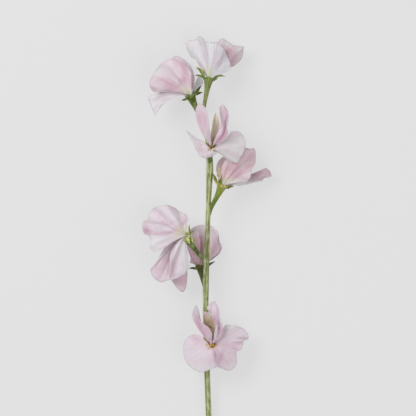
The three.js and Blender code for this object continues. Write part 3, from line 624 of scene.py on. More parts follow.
# Hangs to the left, seen from its side.
SIXTH = BloomPlan(
    number=6, node=(-3.4, 248, 20), mouth=(-14.5, 274.5, 21), axis=(-0.38, 0.92, 0.1),
    sepals=(
        Sepal(20, 4, 75, 40), Sepal(78, 2.6, 80, 10, 2.4), Sepal(160, 6, 40, 50), Sepal(245, 5.5, 70, 50),
        Sepal(295, 7.5, 45, 25, 3.2),
    ),
    banner=PetalPlan(
        seat=0, ground=(219, 197, 206), cup=(-1, 1, 3), wave=Wave(0.9, 7, 0.4), crease=0.6,
        # The white patch on the upper left is painted highlight.
        washes=(
            Wash((-20, 17), (6, 5), SNOW, 0.6, 50), Wash((-12, 6), (8, 2.6), ROSE, 0.75, 8),
            Wash((-16.5, 9), (7, 1.1), ROSE, 0.5, -24), Wash((-6.5, 10), (2.6, 2.4), ROSE, 0.55),
            Wash((-8, 22.5), (9, 1.8), ROSE, 0.7, -32), Wash((-17, 0), (12, 1.4), SNOW, 0.8),
            Wash((-12, 15), (6, 1.2), SHELL, 0.6, -62), Wash((-2, 2.5), (5, 3.2), CREAM_GREEN, 0.85, -30),
            Wash((-22, 4), (3, 6), BLUSH, 0.4), Wash((-25.5, 3), (2, 4.5), ROSE, 0.5, 15),
            Wash((-24, 12), (2, 4), SNOW, 0.6, -30), Wash((-3, 16), (2, 7), ROSE, 0.5, 20),
            Wash((-10, 2.6), (9, 1), ROSE, 0.4, -4), Wash((-14.2, 19.1), (3.4, 2.4), SNOW, 0.6, -30),
            Wash((-3.7, 10.7), (2, 3), MAUVE, 0.25), Wash((-21.2, 3.7), (3, 1.8), SNOW, 0.55),
            Wash((-22.6, 19.1), (3, 2.4), MIST, 0.5, 45),
        ),
        folds=(
            Fold(-0.47, -0.8, 0.045, 0.25), Fold(-0.545, 0.63, 0.045, 0.3), Fold(-0.62, -0.69, 0.035, 0.3),
            Fold(-0.73, 0.63, 0.05, 0.3), Fold(-0.84, -0.57, 0.04, 0.3), Fold(-0.38, 0.52, 0.04, 0.3),
            Fold(-0.31, -0.46, 0.03, 0.4),
        ),
        rim=(
            (1.2, 15, 3.5), (-2, 19.5, 3.5), (-6.5, 23, 3.5), (-13.5, 25.6, 3), (-20.5, 21.8, 4),
            (-24.8, 15.8, 5), (-28.3, 8.5, 5), (-27, 3.4, 4), (-22, 1.4, 0.5), (-25.5, 5, -7), (-24, 11, -15),
            (-18, 18, -21), (-13, 23, -21), (-10.5, 27.4, -15), (-4.5, 25.5, -12.5), (0, 21.5, -10.5),
            (2.8, 16, -8), (2.8, 8, -3.5), (1.8, 3.8, -0.6),
        ),
    ),
    wing_left=PetalPlan(
        # This wing lies in shade behind the others, so its ground is painted paler than its own, as painted
        # light.
        seat=235, ground=(238, 237, 238), wave=Wave(0.4, 3, 0), crease=0.3,
        washes=(Wash((2, 9), (1.2, 3), TAN, 0.3), Wash((6, 11), (2, 4), MIST, 0.5)),
        rim=((6, 14.8, -11), (8.2, 12.4, -11.5), (8.8, 8.5, -10.5), (6.8, 4.5, -7)),
    ),
    wing_right=PetalPlan(
        seat=90, claw=8, ground=(219, 214, 218), cup=(-1, 0, 0), wave=Wave(0.4, 4, 0), crease=0.4,
        bows=((0, 0, 0), (-2, 10, 0)),
        # The thin mauve lines and the greys are painted shade along its folds and edges.
        washes=(
            Wash((-17, -5.6), (6, 0.7), MAUVE, 0.45, 28), Wash((-22.4, -11), (4, 0.6), MAUVE, 0.45, 62),
            Wash((-28.4, -3.4), (2.4, 0.7), MAUVE, 0.4, 66), Wash((-27, -9), (4, 0.6), MAUVE, 0.35, -66),
            Wash((-12, -2.6), (9, 0.8), MIST, 0.8, 8), Wash((-24, -8), (1.2, 6), MIST, 0.6, -14),
            Wash((-20, -2), (6, 2), BLUSH, 0.35, 20), Wash((-24, -12), (2.4, 3), SHELL, 0.5),
        ),
        folds=(Fold(-0.1, -0.87, 0.1, 0.35), Fold(0.35, 0.87, 0.14, 0.3), Fold(-0.6, 0.72, 0.12, 0.3)),
        rim=(
            (-2.8, 1, -1.4), (-8, 0.8, -3.2), (-14, 0.5, -4), (-22, 0, -4.5), (-28.8, -2, -3),
            (-27.8, -7, -2), (-24.6, -14.8, -1.5),
        ),
    ),
    keel=PetalPlan(
        seat=160, claw=5, ground=(217, 199, 195), cup=(0, 0, -1), crease=0.4,
        rim=((-4, 8.5, -5), (-6.5, 15, -9.5), (-5, 18.5, -12), (-1.5, 15, -11), (0.4, 8.5, -7), (0.8, 3, -3)),
    ),
)

# The bloom at the tip.
TIP = BloomPlan(
    number=7, node=(-4, 252, 20.2), mouth=(-1.5, 286.5, 23), axis=(0.12, 0.93, -0.35),
    bend=((-3.5, 0, 0), (0, 0, 0)), lip_drop=1.0,
    sepals=(
        Sepal(82, 9.5, 8, 74, 3.2), Sepal(118, 8.5, 26, 82, 1.9), Sepal(170, 6, 30, 50),
        Sepal(225, 6, 30, 50), Sepal(280, 8.4, 26, 92, 1.9),
    ),
    banner=PetalPlan(
        seat=0, ground=(216, 214, 219), cup=(0, 0, 3.8), wave=Wave(0.9, 5, 0.3), crease=1,
        bows=((5, 1, 0), (2, -2, 0)),
        # The greys along the left edge and round the top are painted shade.
        washes=(
            Wash((-3.5, 15), (1.6, 8), ROSE, 0.15, 8), Wash((-6, 25), (4, 2.4), MIST, 0.7, -20),
            Wash((-2, 18), (1, 6), MIST, 0.5, 6), Wash((-12, 17), (3, 8), MIST, 0.6, 25),
            Wash((8, 11), (3.6, 4), BLUSH, 0.4), Wash((4, 9), (1, 6), BLUSH, 0.35, -20),
            Wash((7.5, 17), (3, 1), BLUSH, 0.5, -20), Wash((-1, 4), (4, 4), CREAM_GREEN, 0.65),
            Wash((3, 20), (7, 3), SNOW, 0.6, -30), Wash((-14.5, 18), (2.2, 8), MIST, 1, 30),
            Wash((-11, 9), (1.8, 6), MIST, 0.9, 38), Wash((-13.6, 16), (1.2, 8), RIM_SHADE, 0.3, 33),
            Wash((6, 14), (3, 4), SHELL, 0.5, -30), Wash((9, 6), (6, 1.6), MIST, 0.6, 24),
            Wash((11, 16), (2, 4), MIST, 0.5, -30),
        ),
        folds=(
            Fold(-0.25, -0.72, 0.07, 0.2), Fold(-0.45, 0.8, 0.1, 0.25), Fold(-0.8, -0.51, 0.08, 0.35),
            Fold(0.05, 0.65, 0.1, 0.25), Fold(0.35, -0.51, 0.06, 0.45), Fold(0.6, 0.51, 0.08, 0.35),
            Fold(0.85, -0.34, 0.05, 0.4),
        ),
        rim=(
            (-12, 14.5, 0), (-15.7, 21, -3), (-16.2, 24, -4.5), (-14, 26, -4.5), (-9.5, 27, -2.5),
            (-6.2, 29, -0.5), (-4, 28, 0), (-1.5, 25.8, 0), (3, 25, -0.5), (7.5, 22.5, -2),
            (12.2, 17.5, -3.5), (15, 11.8, -4), (15, 7.3, -3.5), (12, 4.8, -2),
        ),
    ),
    wing_left=PetalPlan(
        seat=90, ground=(215, 198, 203), cup=(0, 0, -1), wave=Wave(0.4, 4, 0), crease=0.4,
        rim=(
            (-7, 8.5, -8), (-9.8, 15.5, -12), (-8.4, 21.5, -15), (-4.4, 24, -16.5), (-1.2, 20.5, -16),
            (-0.8, 12.5, -13),
        ),
    ),
    wing_right=PetalPlan(
        seat=270, ground=(197, 174, 179), cup=(0, 0, -2), wave=Wave(0.5, 4, 0.5),
        washes=(
            Wash((17, 22.6), (7, 1.8), MIST, 1, -18), Wash((10.6, 26.6), (4, 2.4), MIST, 1, -40),
            Wash((24, 20), (2, 3.4), MIST, 1, 10), Wash((13, 22), (3, 1.4), ROSE, 0.4, -40),
            Wash((9, 25), (3, 2), SHELL, 0.5), Wash((20, 19.5), (5, 2.6), MIST, 0.6, -30),
            Wash((16, 12), (3, 4), ROSE, 0.7, 20), Wash((15, 17), (1.2, 5), BLUSH, 0.5, -20),
        ),
        folds=(Fold(0, -1.16, 0.12, 0.4), Fold(0.4, 0.87, 0.12, 0.35), Fold(-0.4, 0.87, 0.12, 0.35)),
        rim=(
            (3.5, 21, -12), (5.8, 25.5, -12), (9.5, 27.8, -11.5), (13.5, 26, -11), (18, 22.8, -10),
            (24.5, 22.2, -9.5), (24.3, 19, -11), (22, 12.5, -14), (18.5, 9, -15.5),
        ),
    ),
    keel=PetalPlan(
        seat=180, claw=5, ground=(209, 187, 194), cup=(0, 0, -1.5),
        rim=((1.8, 14, -14.5), (4, 19, -17.5), (7.5, 17.5, -17.5), (7.5, 11, -15)),
    ),
)

BLOOMS = (LOWEST, SECOND, THIRD, FOURTH, FIFTH, SIXTH, TIP)


# ---- Curves and grids ----


def smoothstep(value: Array, low: float, high: float) -> Array:
    """A soft step.

    Args:
        value: Where to read it.
        low: Where it leaves 0; it may lie above high, and the step then falls.
        high: Where it reaches 1.

    Returns:
        3x² − 2x³ of the clamped way x from low to high.
    """
    x = np.clip((value - low) / (high - low), 0.0, 1.0)
    return x * x * (3.0 - 2.0 * x)


def bell(value: Array, middle: Array | float, width: Array | float) -> Array:
    """A bell curve: exp(−x²) of the distance x from the middle over the width."""
    return np.exp(-(((value - middle) / width) ** 2))


def unit(vectors: Array) -> Array:
    """Vectors over their own lengths."""
    return vectors / np.maximum(np.linalg.norm(vectors, axis=-1, keepdims=True), TINY)


def linear(colour: Colour) -> Array:
    """A display colour from 0 to 255 as linear light from 0 to 1, by the usual display curve."""
    c = np.asarray(colour, float) / 255.0
    return np.where(c <= 0.04045, c / 12.92, ((c + 0.055) / 1.055) ** 2.4)


def round_turn(count: int) -> Array:
    """Angles at equal steps once round."""
    return np.linspace(0, 2 * np.pi, count, endpoint=False)


@dataclass(frozen=True)
class SmoothCurve:
    """A smooth curve through given points.

    Between two of them it is the cubic whose end slopes come from both neighbours, each weighed by the
    square root of its distance. Past either end the curve goes straight on.

    Attributes:
        points: The points.
        readings: How often it is read for each of them where its length is measured.
    """

    points: tuple[Point, ...]
    readings: int = 40

    def at(self, t: Array) -> Array:
        """Points of the curve.

        Args:
            t: Places along it, from 0 to 1, in equal steps from point to point.

        Returns:
            One point for each place.
        """
        p = np.asarray(self.points, float)
        p = np.vstack([2 * p[0] - p[1], p, 2 * p[-1] - p[-2]])
        last = len(self.points) - 1
        whole = np.minimum((t * last).astype(int), last - 1)
        w = (t * last - whole)[:, None]
        x0, x1, x2, x3 = (p[whole + k] for k in range(4))
        d0, d1, d2 = (
            np.sqrt(np.linalg.norm(b - a, axis=1))[:, None] for a, b in ((x0, x1), (x1, x2), (x2, x3))
        )
        slope_1 = ((x1 - x0) / d0 - (x2 - x0) / (d0 + d1) + (x2 - x1) / d1) * d1
        slope_2 = ((x2 - x1) / d1 - (x3 - x1) / (d1 + d2) + (x3 - x2) / d2) * d1
        square = 3 * (x2 - x1) - 2 * slope_1 - slope_2
        cube = 2 * (x1 - x2) + slope_1 + slope_2
        return x1 + w * (slope_1 + w * (square + w * cube))

    def spaced(self, count: int) -> Array:
        """Points of the curve at equal lengths.

        Args:
            count: How many steps to take.

        Returns:
            The count + 1 points.
        """
        t = np.linspace(0, 1, self.readings * len(self.points))
        gone = lengths(self.at(t))
        return self.at(np.interp(np.linspace(0, gone[-1], count + 1), gone, t))


def lengths(line: Array) -> Array:
    """How far along a line of points each of them lies."""
    return np.concatenate([[0], np.cumsum(np.linalg.norm(np.diff(line, axis=0), axis=1))])


def cubic(a: Array, b: Array, c: Array, d: Array, t: Array) -> Array:
    """Cubic Bézier curves from a to d that head for b and come in from c, read at t."""
    s = 1 - t
    return s**3 * a + 3 * s * s * t * b + 3 * s * t * t * c + t**3 * d


def grid_normals(grid: Array) -> Array:
    """The surface's direction at each point of a grid: the cross product of its slopes both ways."""
    return unit(np.cross(np.gradient(grid, axis=0), np.gradient(grid, axis=1)))


def grid_places(shape: tuple[int, ...], across_from: float) -> tuple[Array, Array]:
    """Where each point of a grid lies.

    Args:
        shape: The grid's shape, whose first two sizes are read.
        across_from: The place of its first column; the last one's is 1.

    Returns:
        The places along, from 0 to 1, and the places across.
    """
    along, across = np.linspace(0, 1, shape[0]), np.linspace(across_from, 1, shape[1])
    return tuple(np.meshgrid(along, across, indexing="ij"))


# ---- Meshes ----


def added(name: str, data: bpy.types.ID) -> bpy.types.Object:
    """A new object of the scene that holds this data."""
    thing = bpy.data.objects.new(name, data)
    bpy.context.scene.collection.objects.link(thing)
    return thing


@dataclass
class Shell:
    """A closed surface on its way into a mesh.

    Attributes:
        points: Its corners, in millimetres.
        faces: Groups of faces with the same number of corners.
        across: A pattern coordinate for each corner, round or across the piece.
        along: A pattern coordinate for each corner, along the piece.
        colour: The linear colour of each corner.
    """

    points: Array
    faces: list[Array]
    across: Array
    along: Array
    colour: Array

    def volume(self) -> float:
        """The signed volume.

        Returns:
            The sum of the tetrahedra from the origin to each triangle: below 0 where the faces point inwards.
        """
        total = 0.0
        for group in self.faces:
            p = self.points[group]
            for k in range(1, group.shape[1] - 1):
                total += np.einsum("ij,ij->", p[:, 0], np.cross(p[:, k], p[:, k + 1])) / 6
        return total

    def faced_out(self) -> "Shell":
        """The same shell with its faces pointing outwards."""
        if self.volume() < 0:
            self.faces = [group[:, ::-1] for group in self.faces]
        return self

    def joined(self, *others: "Shell") -> "Shell":
        """This shell and others as one.

        Args:
            others: The shells to add.

        Returns:
            A shell that holds them all.
        """
        shells = (self, *others)
        starts = np.cumsum([0] + [len(s.points) for s in shells[:-1]])
        return Shell(
            np.vstack([s.points for s in shells]),
            [group + start for s, start in zip(shells, starts) for group in s.faces],
            np.concatenate([s.across for s in shells]),
            np.concatenate([s.along for s in shells]),
            np.vstack([s.colour for s in shells]),
        )

    def piece(self, name: str, node: str, finish: "Finish") -> None:
        """Puts the shell into the scene as a piece, with a UV map "weave" and a colour attribute "wash".

        Args:
            name: The piece's name.
            node: The solid that it stands for.
            finish: What to dress it in.
        """
        mesh = bpy.data.meshes.new(name)
        faces = [face for group in self.faces for face in group.tolist()]
        mesh.from_pydata((self.points * MM).tolist(), [], faces)
        mesh.polygons.foreach_set("use_smooth", np.ones(len(mesh.polygons), bool))
        corner = np.empty(len(mesh.loops), np.int32)
        mesh.loops.foreach_get("vertex_index", corner)
        uv = np.stack([self.across[corner], self.along[corner]], axis=1)
        mesh.uv_layers.new(name="weave").data.foreach_set("uv", uv.astype(np.float32).ravel())
        wash = mesh.color_attributes.new("wash", "FLOAT_COLOR", "POINT")
        rgba = np.hstack([self.colour, np.ones((len(self.colour), 1))])
        wash.data.foreach_set("color", rgba.astype(np.float32).ravel())
        mesh.materials.append(finish.material())
        mesh.update()
        piece = added(name, mesh)
        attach(piece, BODY)
        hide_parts(node)
        LOG.info("%s: %d faces, stands for %s", name, len(mesh.polygons), node)


def grid_faces(rows: int, columns: int, first: int = 0) -> Array:
    """The quads of a grid of points.

    Args:
        rows: Its points along.
        columns: Its points across.
        first: The index of its first point.

    Returns:
        Four indices a quad, turned so that along × across is its outer side.
    """
    index = first + np.arange(rows * columns).reshape(rows, columns)
    corners = (index[:-1, :-1], index[1:, :-1], index[1:, 1:], index[:-1, 1:])
    return np.stack(corners, axis=-1).reshape(-1, 4)


def blade(grid: Array, thickness: Array, colour: Array) -> Shell:
    """A closed blade: a grid moved half its thickness to both sides along its normals, and walled round.

    Args:
        grid: Its middle surface.
        thickness: Its thickness at every point.
        colour: Its linear colour at every point.

    Returns:
        The shell, whose pattern coordinates run from 0 to 1. None of it lies under the table.
    """
    rows, columns = grid.shape[:2]
    offset = grid_normals(grid) * (thickness / 2)[..., None]
    points = np.concatenate([(grid + offset).reshape(-1, 3), (grid - offset).reshape(-1, 3)])
    points[:, 2] = np.maximum(points[:, 2], 0)
    under = rows * columns
    index = np.arange(under).reshape(rows, columns)
    ring = np.concatenate([index[0, :-1], index[:-1, -1], index[-1, :0:-1], index[:0:-1, 0]])
    after = np.roll(ring, -1)
    wall = np.stack([ring, after, after + under, ring + under], axis=1)
    faces = [grid_faces(rows, columns), grid_faces(rows, columns, under)[:, ::-1], wall]
    along, across = (np.tile(places.ravel(), 2) for places in grid_places(grid.shape, 0))
    return Shell(points, faces, across, along, np.tile(colour.reshape(-1, 3), (2, 1)))


def tube(rings: Array, along: Array, colour: Array) -> Shell:
    """A closed tube through rings of points, with a middle point to close each end.

    Args:
        rings: The rings, each with the same number of points in the same order.
        along: The pattern coordinate of each ring.
        colour: The linear colour of every point.

    Returns:
        The shell; across runs from 0 to 1 and back round the ring, so that the pattern has no seam.
    """
    count, sides = rings.shape[:2]
    points = np.vstack([rings.reshape(-1, 3), rings[0].mean(0), rings[-1].mean(0)])
    index = np.arange(count * sides).reshape(count, sides)
    around = np.roll(index, -1, axis=1)
    walls = np.stack([index[:-1], around[:-1], around[1:], index[1:]], axis=-1).reshape(-1, 4)
    foot, head = count * sides, count * sides + 1
    foot_fan = np.stack([np.full(sides, foot), around[0], index[0]], axis=1)
    head_fan = np.stack([np.full(sides, head), index[-1], around[-1]], axis=1)
    half_turns = np.abs(np.linspace(-1, 1, sides, endpoint=False))
    across = np.concatenate([np.tile(half_turns, count), [0.5, 0.5]])
    length = np.concatenate([np.repeat(along, sides), along[[0, -1]]])
    colours = np.vstack([colour.reshape(-1, 3), colour[0].mean(0), colour[-1].mean(0)])
    return Shell(points, [walls, foot_fan, head_fan], across, length, colours).faced_out()


# ---- Finishes ----


class Shades:
    """The shader nodes of one material, laid down one after another."""

    NOISE_ROUGHNESS = 0.55

    def __init__(self, name: str) -> None:
        """Starts an empty material.

        Args:
            name: Its name.
        """
        self.material = bpy.data.materials.new(name)
        self.material.use_nodes = True
        self.tree = self.material.node_tree
        self.tree.nodes.clear()

    def node(self, kind: str, sockets: dict, **settings: object) -> bpy.types.Node:
        """Adds a node.

        Args:
            kind: Its type's name.
            sockets: A value, or another node's output, for each input, by its name or number.
            settings: Its properties.

        Returns:
            The node.
        """
        node = self.tree.nodes.new(kind)
        for key, value in settings.items():
            setattr(node, key, value)
        for key, value in sockets.items():
            if isinstance(value, Socket):
                self.tree.links.new(value, node.inputs[key])
            else:
                node.inputs[key].default_value = value
        return node

    def wash(self) -> Socket:
        """The piece's own painted colour."""
        return self.node("ShaderNodeAttribute", {}, attribute_name="wash").outputs["Color"]

    def weave(self, across: float, along: float) -> Socket:
        """The piece's own pattern coordinates, stretched by these factors."""
        source = self.node("ShaderNodeUVMap", {}, uv_map="weave").outputs["UV"]
        return self.stretched(source, (across, along, 1))

    def place(self, scale: Point = (1, 1, 1)) -> Socket:
        """Object coordinates in metres, stretched by these factors."""
        return self.stretched(self.node("ShaderNodeTexCoord", {}).outputs["Object"], scale)

    def stretched(self, source: Socket, scale: Point) -> Socket:
        """Coordinates stretched by these factors."""
        return self.node("ShaderNodeMapping", {"Vector": source, "Scale": scale}).outputs["Vector"]

    def noise(self, vector: Socket, scale: float = 1.0, detail: float = 3.0) -> Socket:
        """Soft noise around a half."""
        sockets = {"Vector": vector, "Scale": scale, "Detail": detail, "Roughness": self.NOISE_ROUGHNESS}
        return self.node("ShaderNodeTexNoise", sockets).outputs["Fac"]

    def step(self, value: Socket, low: float, high: float, top: float = 1.0) -> Socket:
        """A soft step of the value from 0 at low to top at high."""
        sockets = {"Value": value, "From Min": low, "From Max": high, "To Min": 0.0, "To Max": top}
        return self.node("ShaderNodeMapRange", sockets, interpolation_type="SMOOTHSTEP").outputs["Result"]

    def maths(self, operation: str, a: Socket | float, b: Socket | float = 0.0) -> Socket:
        """Arithmetic on two numbers or sockets."""
        return self.node("ShaderNodeMath", {0: a, 1: b}, operation=operation).outputs[0]

    def weighed(self, first: Socket | float, second: Socket, weight: float) -> Socket:
        """The first and a share of the second, added up."""
        return self.maths("ADD", first, self.maths("MULTIPLY", second, weight))

    def ridge(self, value: Socket, width: float) -> Socket:
        """Thin lines where the value passes a half: 1 on the line, 0 from the width away."""
        off = self.maths("ABSOLUTE", self.maths("SUBTRACT", value, 0.5))
        return self.step(off, width, 0.0)

    def over(self, colour: Socket | tuple[float, ...], tint: Colour, amount: Socket) -> Socket:
        """The colour with this much of a display colour over it."""
        sockets = {0: amount, 6: colour, 7: opaque(tint)}
        return self.node("ShaderNodeMix", sockets, data_type="RGBA").outputs[2]

    def finish(
        self, colour: Socket, relief: Socket, depth: float, roughness: Socket | float, surface: dict
    ) -> Material:
        """Closes the material with its surface.

        Args:
            colour: The base colour.
            relief: The height of the finest relief, from 0 to 1.
            depth: The relief's full height, in metres.
            roughness: The roughness, a number or a socket.
            surface: The other values of the surface shader, by socket.

        Returns:
            The finished material.
        """
        bump = self.node("ShaderNodeBump", {"Height": relief, "Strength": 1.0, "Distance": depth})
        sockets = {"Base Color": colour, "Roughness": roughness, "Normal": bump.outputs["Normal"], **surface}
        shader = self.node("ShaderNodeBsdfPrincipled", sockets)
        self.node("ShaderNodeOutputMaterial", {"Surface": shader.outputs["BSDF"]})
        return self.material


def opaque(colour: Colour) -> tuple[float, float, float, float]:
    """A display colour as a shader's linear colour."""
    return (*linear(colour).tolist(), 1.0)


@dataclass(frozen=True)
class PetalFinish:
    """Soft matt petal flesh.

    Over the wash lie broad streaks that fan out from the claw, clouds, fine branching veins and a crêpe of
    tiny grains. A fan gives how often its noise changes across the petal and along it.

    Attributes:
        name: The material's name.
        streak, light, vein: The colours of the darker streaks, of the paler ones and of the veins.
        streak_strength, light_strength, vein_strength: How much these hide of the wash.
        roughness: The least roughness.
        streak_fan, fibre_fan, stem_fan, branch_fan: The fans of streaks, relief, large and small veins.
        clouds, grains: How many clouds and grains there are to a metre.
        relief: The height of the relief, in metres.
    """

    name: str
    streak: Colour = (186, 152, 168)
    light: Colour = (226, 225, 227)
    vein: Colour = (168, 126, 146)
    streak_strength: float = 0.15
    light_strength: float = 0.3
    vein_strength: float = 0.14
    roughness: float = 0.62
    streak_fan: Pair = (9, 1.1)
    fibre_fan: Pair = (34, 2.0)
    stem_fan: Pair = (15, 1.3)
    branch_fan: Pair = (38, 6.0)
    clouds: float = 190.0
    grains: float = 1400.0
    relief: float = 0.00022

    def material(self) -> Material:
        """Builds the material.

        Returns:
            A material that reads the wash, and the weave coordinates for streaks and veins.
        """
        s = Shades(self.name)
        streaks = s.noise(s.weave(*self.streak_fan), detail=2.0)
        fibres = s.noise(s.weave(*self.fibre_fan))
        clouds = s.noise(s.place(), self.clouds)
        colour = s.over(s.wash(), self.streak, s.step(streaks, 0.5, 0.72, self.streak_strength))
        colour = s.over(colour, self.light, s.step(streaks, 0.5, 0.3, self.light_strength))
        colour = s.over(colour, self.streak, s.step(clouds, 0.5, 0.72, self.streak_strength * 0.6))
        colour = s.over(colour, self.light, s.step(clouds, 0.48, 0.3, self.light_strength * 0.7))
        stems = s.ridge(s.noise(s.weave(*self.stem_fan), detail=1.0), 0.022)
        branches = s.ridge(s.noise(s.weave(*self.branch_fan), detail=2.0), 0.03)
        veins = s.maths("MAXIMUM", stems, s.maths("MULTIPLY", branches, 0.45))
        colour = s.over(colour, self.vein, s.maths("MULTIPLY", veins, self.vein_strength))
        crepe = s.noise(s.place(), self.grains, 2.0)
        relief = s.weighed(s.weighed(s.maths("MULTIPLY", fibres, 0.7), crepe, 0.12), veins, -0.16)
        surface = {
            "Subsurface Weight": 0.22,
            "Subsurface Radius": (1.0, 0.62, 0.7),
            "Subsurface Scale": 0.0012,
            "Sheen Weight": 0.12,
            "Sheen Roughness": 0.45,
            "Specular IOR Level": 0.28,
        }
        return s.finish(colour, relief, self.relief, s.weighed(self.roughness, crepe, 0.12), surface)


@dataclass(frozen=True)
class StemFinish:
    """Pale waxy green, with darker flecks drawn out along the stem and blots of paler wax.

    Attributes:
        name: The material's name.
        flecks, wax: The colours of the flecks and of the wax.
        fleck_strength, wax_strength: How much these hide of the wash.
        roughness: The least roughness.
        fleck_scale, blot_scale, pore_scale: How many flecks, blots of wax and pores there are to a metre.
        fibre_fan: How often the fibres change across the stem and along it.
        relief: The height of the relief, in metres.
    """

    name: str
    flecks: Colour = (84, 100, 42)
    wax: Colour = (200, 206, 172)
    fleck_strength: float = 0.9
    wax_strength: float = 0.6
    roughness: float = 0.5
    fleck_scale: float = 900.0
    blot_scale: float = 420.0
    pore_scale: float = 2400.0
    fibre_fan: Pair = (26, 1.0)
    relief: float = 0.00018

    def material(self) -> Material:
        """Builds the material.

        Returns:
            A material that reads the wash, Object coordinates for the flecks and the weave for the fibres.
        """
        s = Shades(self.name)
        drawn_out = (1, 0.4, 1)
        flecks = s.noise(s.place(drawn_out), self.fleck_scale, 4.0)
        blots = s.noise(s.place(drawn_out), self.blot_scale)
        fibres = s.noise(s.weave(*self.fibre_fan))
        colour = s.over(s.wash(), self.flecks, s.step(flecks, 0.52, 0.68, self.fleck_strength))
        colour = s.over(colour, self.wax, s.step(blots, 0.48, 0.66, self.wax_strength))
        colour = s.over(colour, self.flecks, s.step(fibres, 0.5, 0.66, 0.35))
        pores = s.noise(s.place((1, 0.6, 1)), self.pore_scale, 2.0)
        relief = s.weighed(s.maths("MULTIPLY", fibres, 0.75), pores, 0.25)
        surface = {
            "Subsurface Weight": 0.1,
            "Subsurface Radius": (0.7, 1.0, 0.4),
            "Subsurface Scale": 0.0008,
            "Sheen Weight": 0.1,
            "Specular IOR Level": 0.35,
        }
        return s.finish(colour, relief, self.relief, s.weighed(self.roughness, blots, 0.22), surface)


@dataclass(frozen=True)
class DownFinish:
    """Pale hairs: their two colours, how often these change to a metre, and the height of the relief."""

    name: str
    colour: Colour = (188, 196, 150)
    darker: Colour = (168, 180, 128)
    scale: float = 900.0
    relief: float = 0.00002

    def material(self) -> Material:
        """Builds the material.

        Returns:
            The hairs' pale colour, a little uneven from hair to hair.
        """
        s = Shades(self.name)
        uneven = s.step(s.noise(s.place(), self.scale, 2.0), 0.4, 0.65, 0.35)
        colour = s.over(opaque(self.colour), self.darker, uneven)
        return s.finish(colour, uneven, self.relief, 0.45, {"Specular IOR Level": 0.3})


@dataclass(frozen=True)
class TableFinish:
    """Plain pale paper on a light table, with the faintest clouds and a light of its own.

    Attributes:
        name: The material's name.
        colour, darker: The colours of the paper and of its clouds.
        glow: The strength of its own light.
        clouds, tooth: How many clouds and grains there are to a metre.
        relief: The height of the grains, in metres.
    """

    name: str
    colour: Colour = (120, 120, 121)
    darker: Colour = (116, 116, 117)
    glow: float = 0.57
    clouds: float = 6.0
    tooth: float = 900.0
    relief: float = 0.00002

    def material(self) -> Material:
        """Builds the material.

        Returns:
            A pale colour with the faintest clouds and a paper tooth.
        """
        s = Shades(self.name)
        clouds = s.step(s.noise(s.place(), self.clouds, 2.0), 0.4, 0.7, 0.1)
        colour = s.over(opaque(self.colour), self.darker, clouds)
        tooth = s.noise(s.place(), self.tooth, 2.0)
        glow = {"Emission Color": (1.0, 1.0, 1.0, 1.0), "Emission Strength": self.glow}
        return s.finish(colour, tooth, self.relief, 0.85, {"Specular IOR Level": 0.1, **glow})


@dataclass(frozen=True)
class Dress:
    """What a piece wears: the slot that it fills, and how its material is made."""

    slot: Slot
    look: PetalFinish | StemFinish | DownFinish


class Finish(Enum):
    """The finishes of the flower."""

    PETAL = Dress(Slot.PETAL, PetalFinish("petal_pink"))
    KEEL = Dress(
        Slot.KEEL,
        PetalFinish("keel_tan", (196, 172, 138), (232, 218, 200), (160, 136, 100), 0.25, 0.3, 0.3),
    )
    EYE = Dress(
        Slot.PETAL,
        PetalFinish("eye_ochre", (196, 140, 36), (220, 186, 84), (150, 104, 30), 0.3, 0.25, 0.2),
    )
    STEM = Dress(Slot.STEM, StemFinish("stem_green"))
    CALYX = Dress(Slot.STEM, StemFinish("calyx_green", (72, 90, 24), (178, 190, 112), 0.75, 0.45))
    DOWN = Dress(Slot.STEM, DownFinish("down_pale"))

    @cache
    def material(self) -> Material:
        """The finish's material, made once and shared by its pieces."""
        return self.value.look.material()


# ---- The flower's sub-assemblies ----


@dataclass(frozen=True)
class CalyxShape:
    """The stalk and the flaring calyx, which all blooms share.

    Attributes:
        stalk_radius, mouth_radius: The radius of the stalk and of the calyx's mouth.
        flare_length: The distance over which the flare falls to a third.
        wall, depth: The thickness of the cup's wall, and how deep the cup is.
        ribs, rib_height: How many soft ribs it has, and their height over the radius.
        rib_reach: How far below the mouth they begin and are full.
        lip_reach: How far below the mouth the lip's rise begins.
        lip_low: How far the lip lies below the mouth where nothing lifts it.
        lip_waves: Its unevenness: each wave's height, how many go round, and its turn from bloom to bloom.
        root_rise, root_angle: How far it rises into a sepal's root, and half the width of that, in degrees.
        full_length: The length from which a sepal lifts the lip in full.
        leave, arrive: How far the stalk's curve heads up the stem, and how far it comes in along the axis,
            as shares of its reach.
        cup_green, lip_green: How far below the mouth the green goes over into the cup's and into the lip's.
        rib_light: How much paler the ribs are.
        sides, rings, inner_rings: Points round it, rings up to the mouth, and rings down inside the cup.
    """

    stalk_radius: float = 1.1
    mouth_radius: float = 3.9
    flare_length: float = 7.2
    wall: float = 0.55
    depth: float = 7.0
    ribs: int = 10
    rib_height: float = 0.045
    rib_reach: Pair = (14, 3)
    lip_reach: float = 2.2
    lip_low: float = 0.2
    lip_waves: tuple[tuple[float, int, int], ...] = ((0.3, 5, 1), (0.22, 9, 2))
    root_rise: float = 1.5
    root_angle: float = 17.0
    full_length: float = 5.0
    leave: float = 0.2
    arrive: float = 0.5
    cup_green: Pair = (13, 5)
    lip_green: Pair = (2.4, 0.3)
    rib_light: float = 0.16
    sides: int = 60
    rings: int = 64
    inner_rings: int = 16

    def radius(self, below: Array) -> Array:
        """The radius at a distance below the mouth: the stalk's plus a flare that falls exponentially."""
        flare = self.mouth_radius - self.stalk_radius
        return self.stalk_radius + flare * np.exp(-below / self.flare_length)


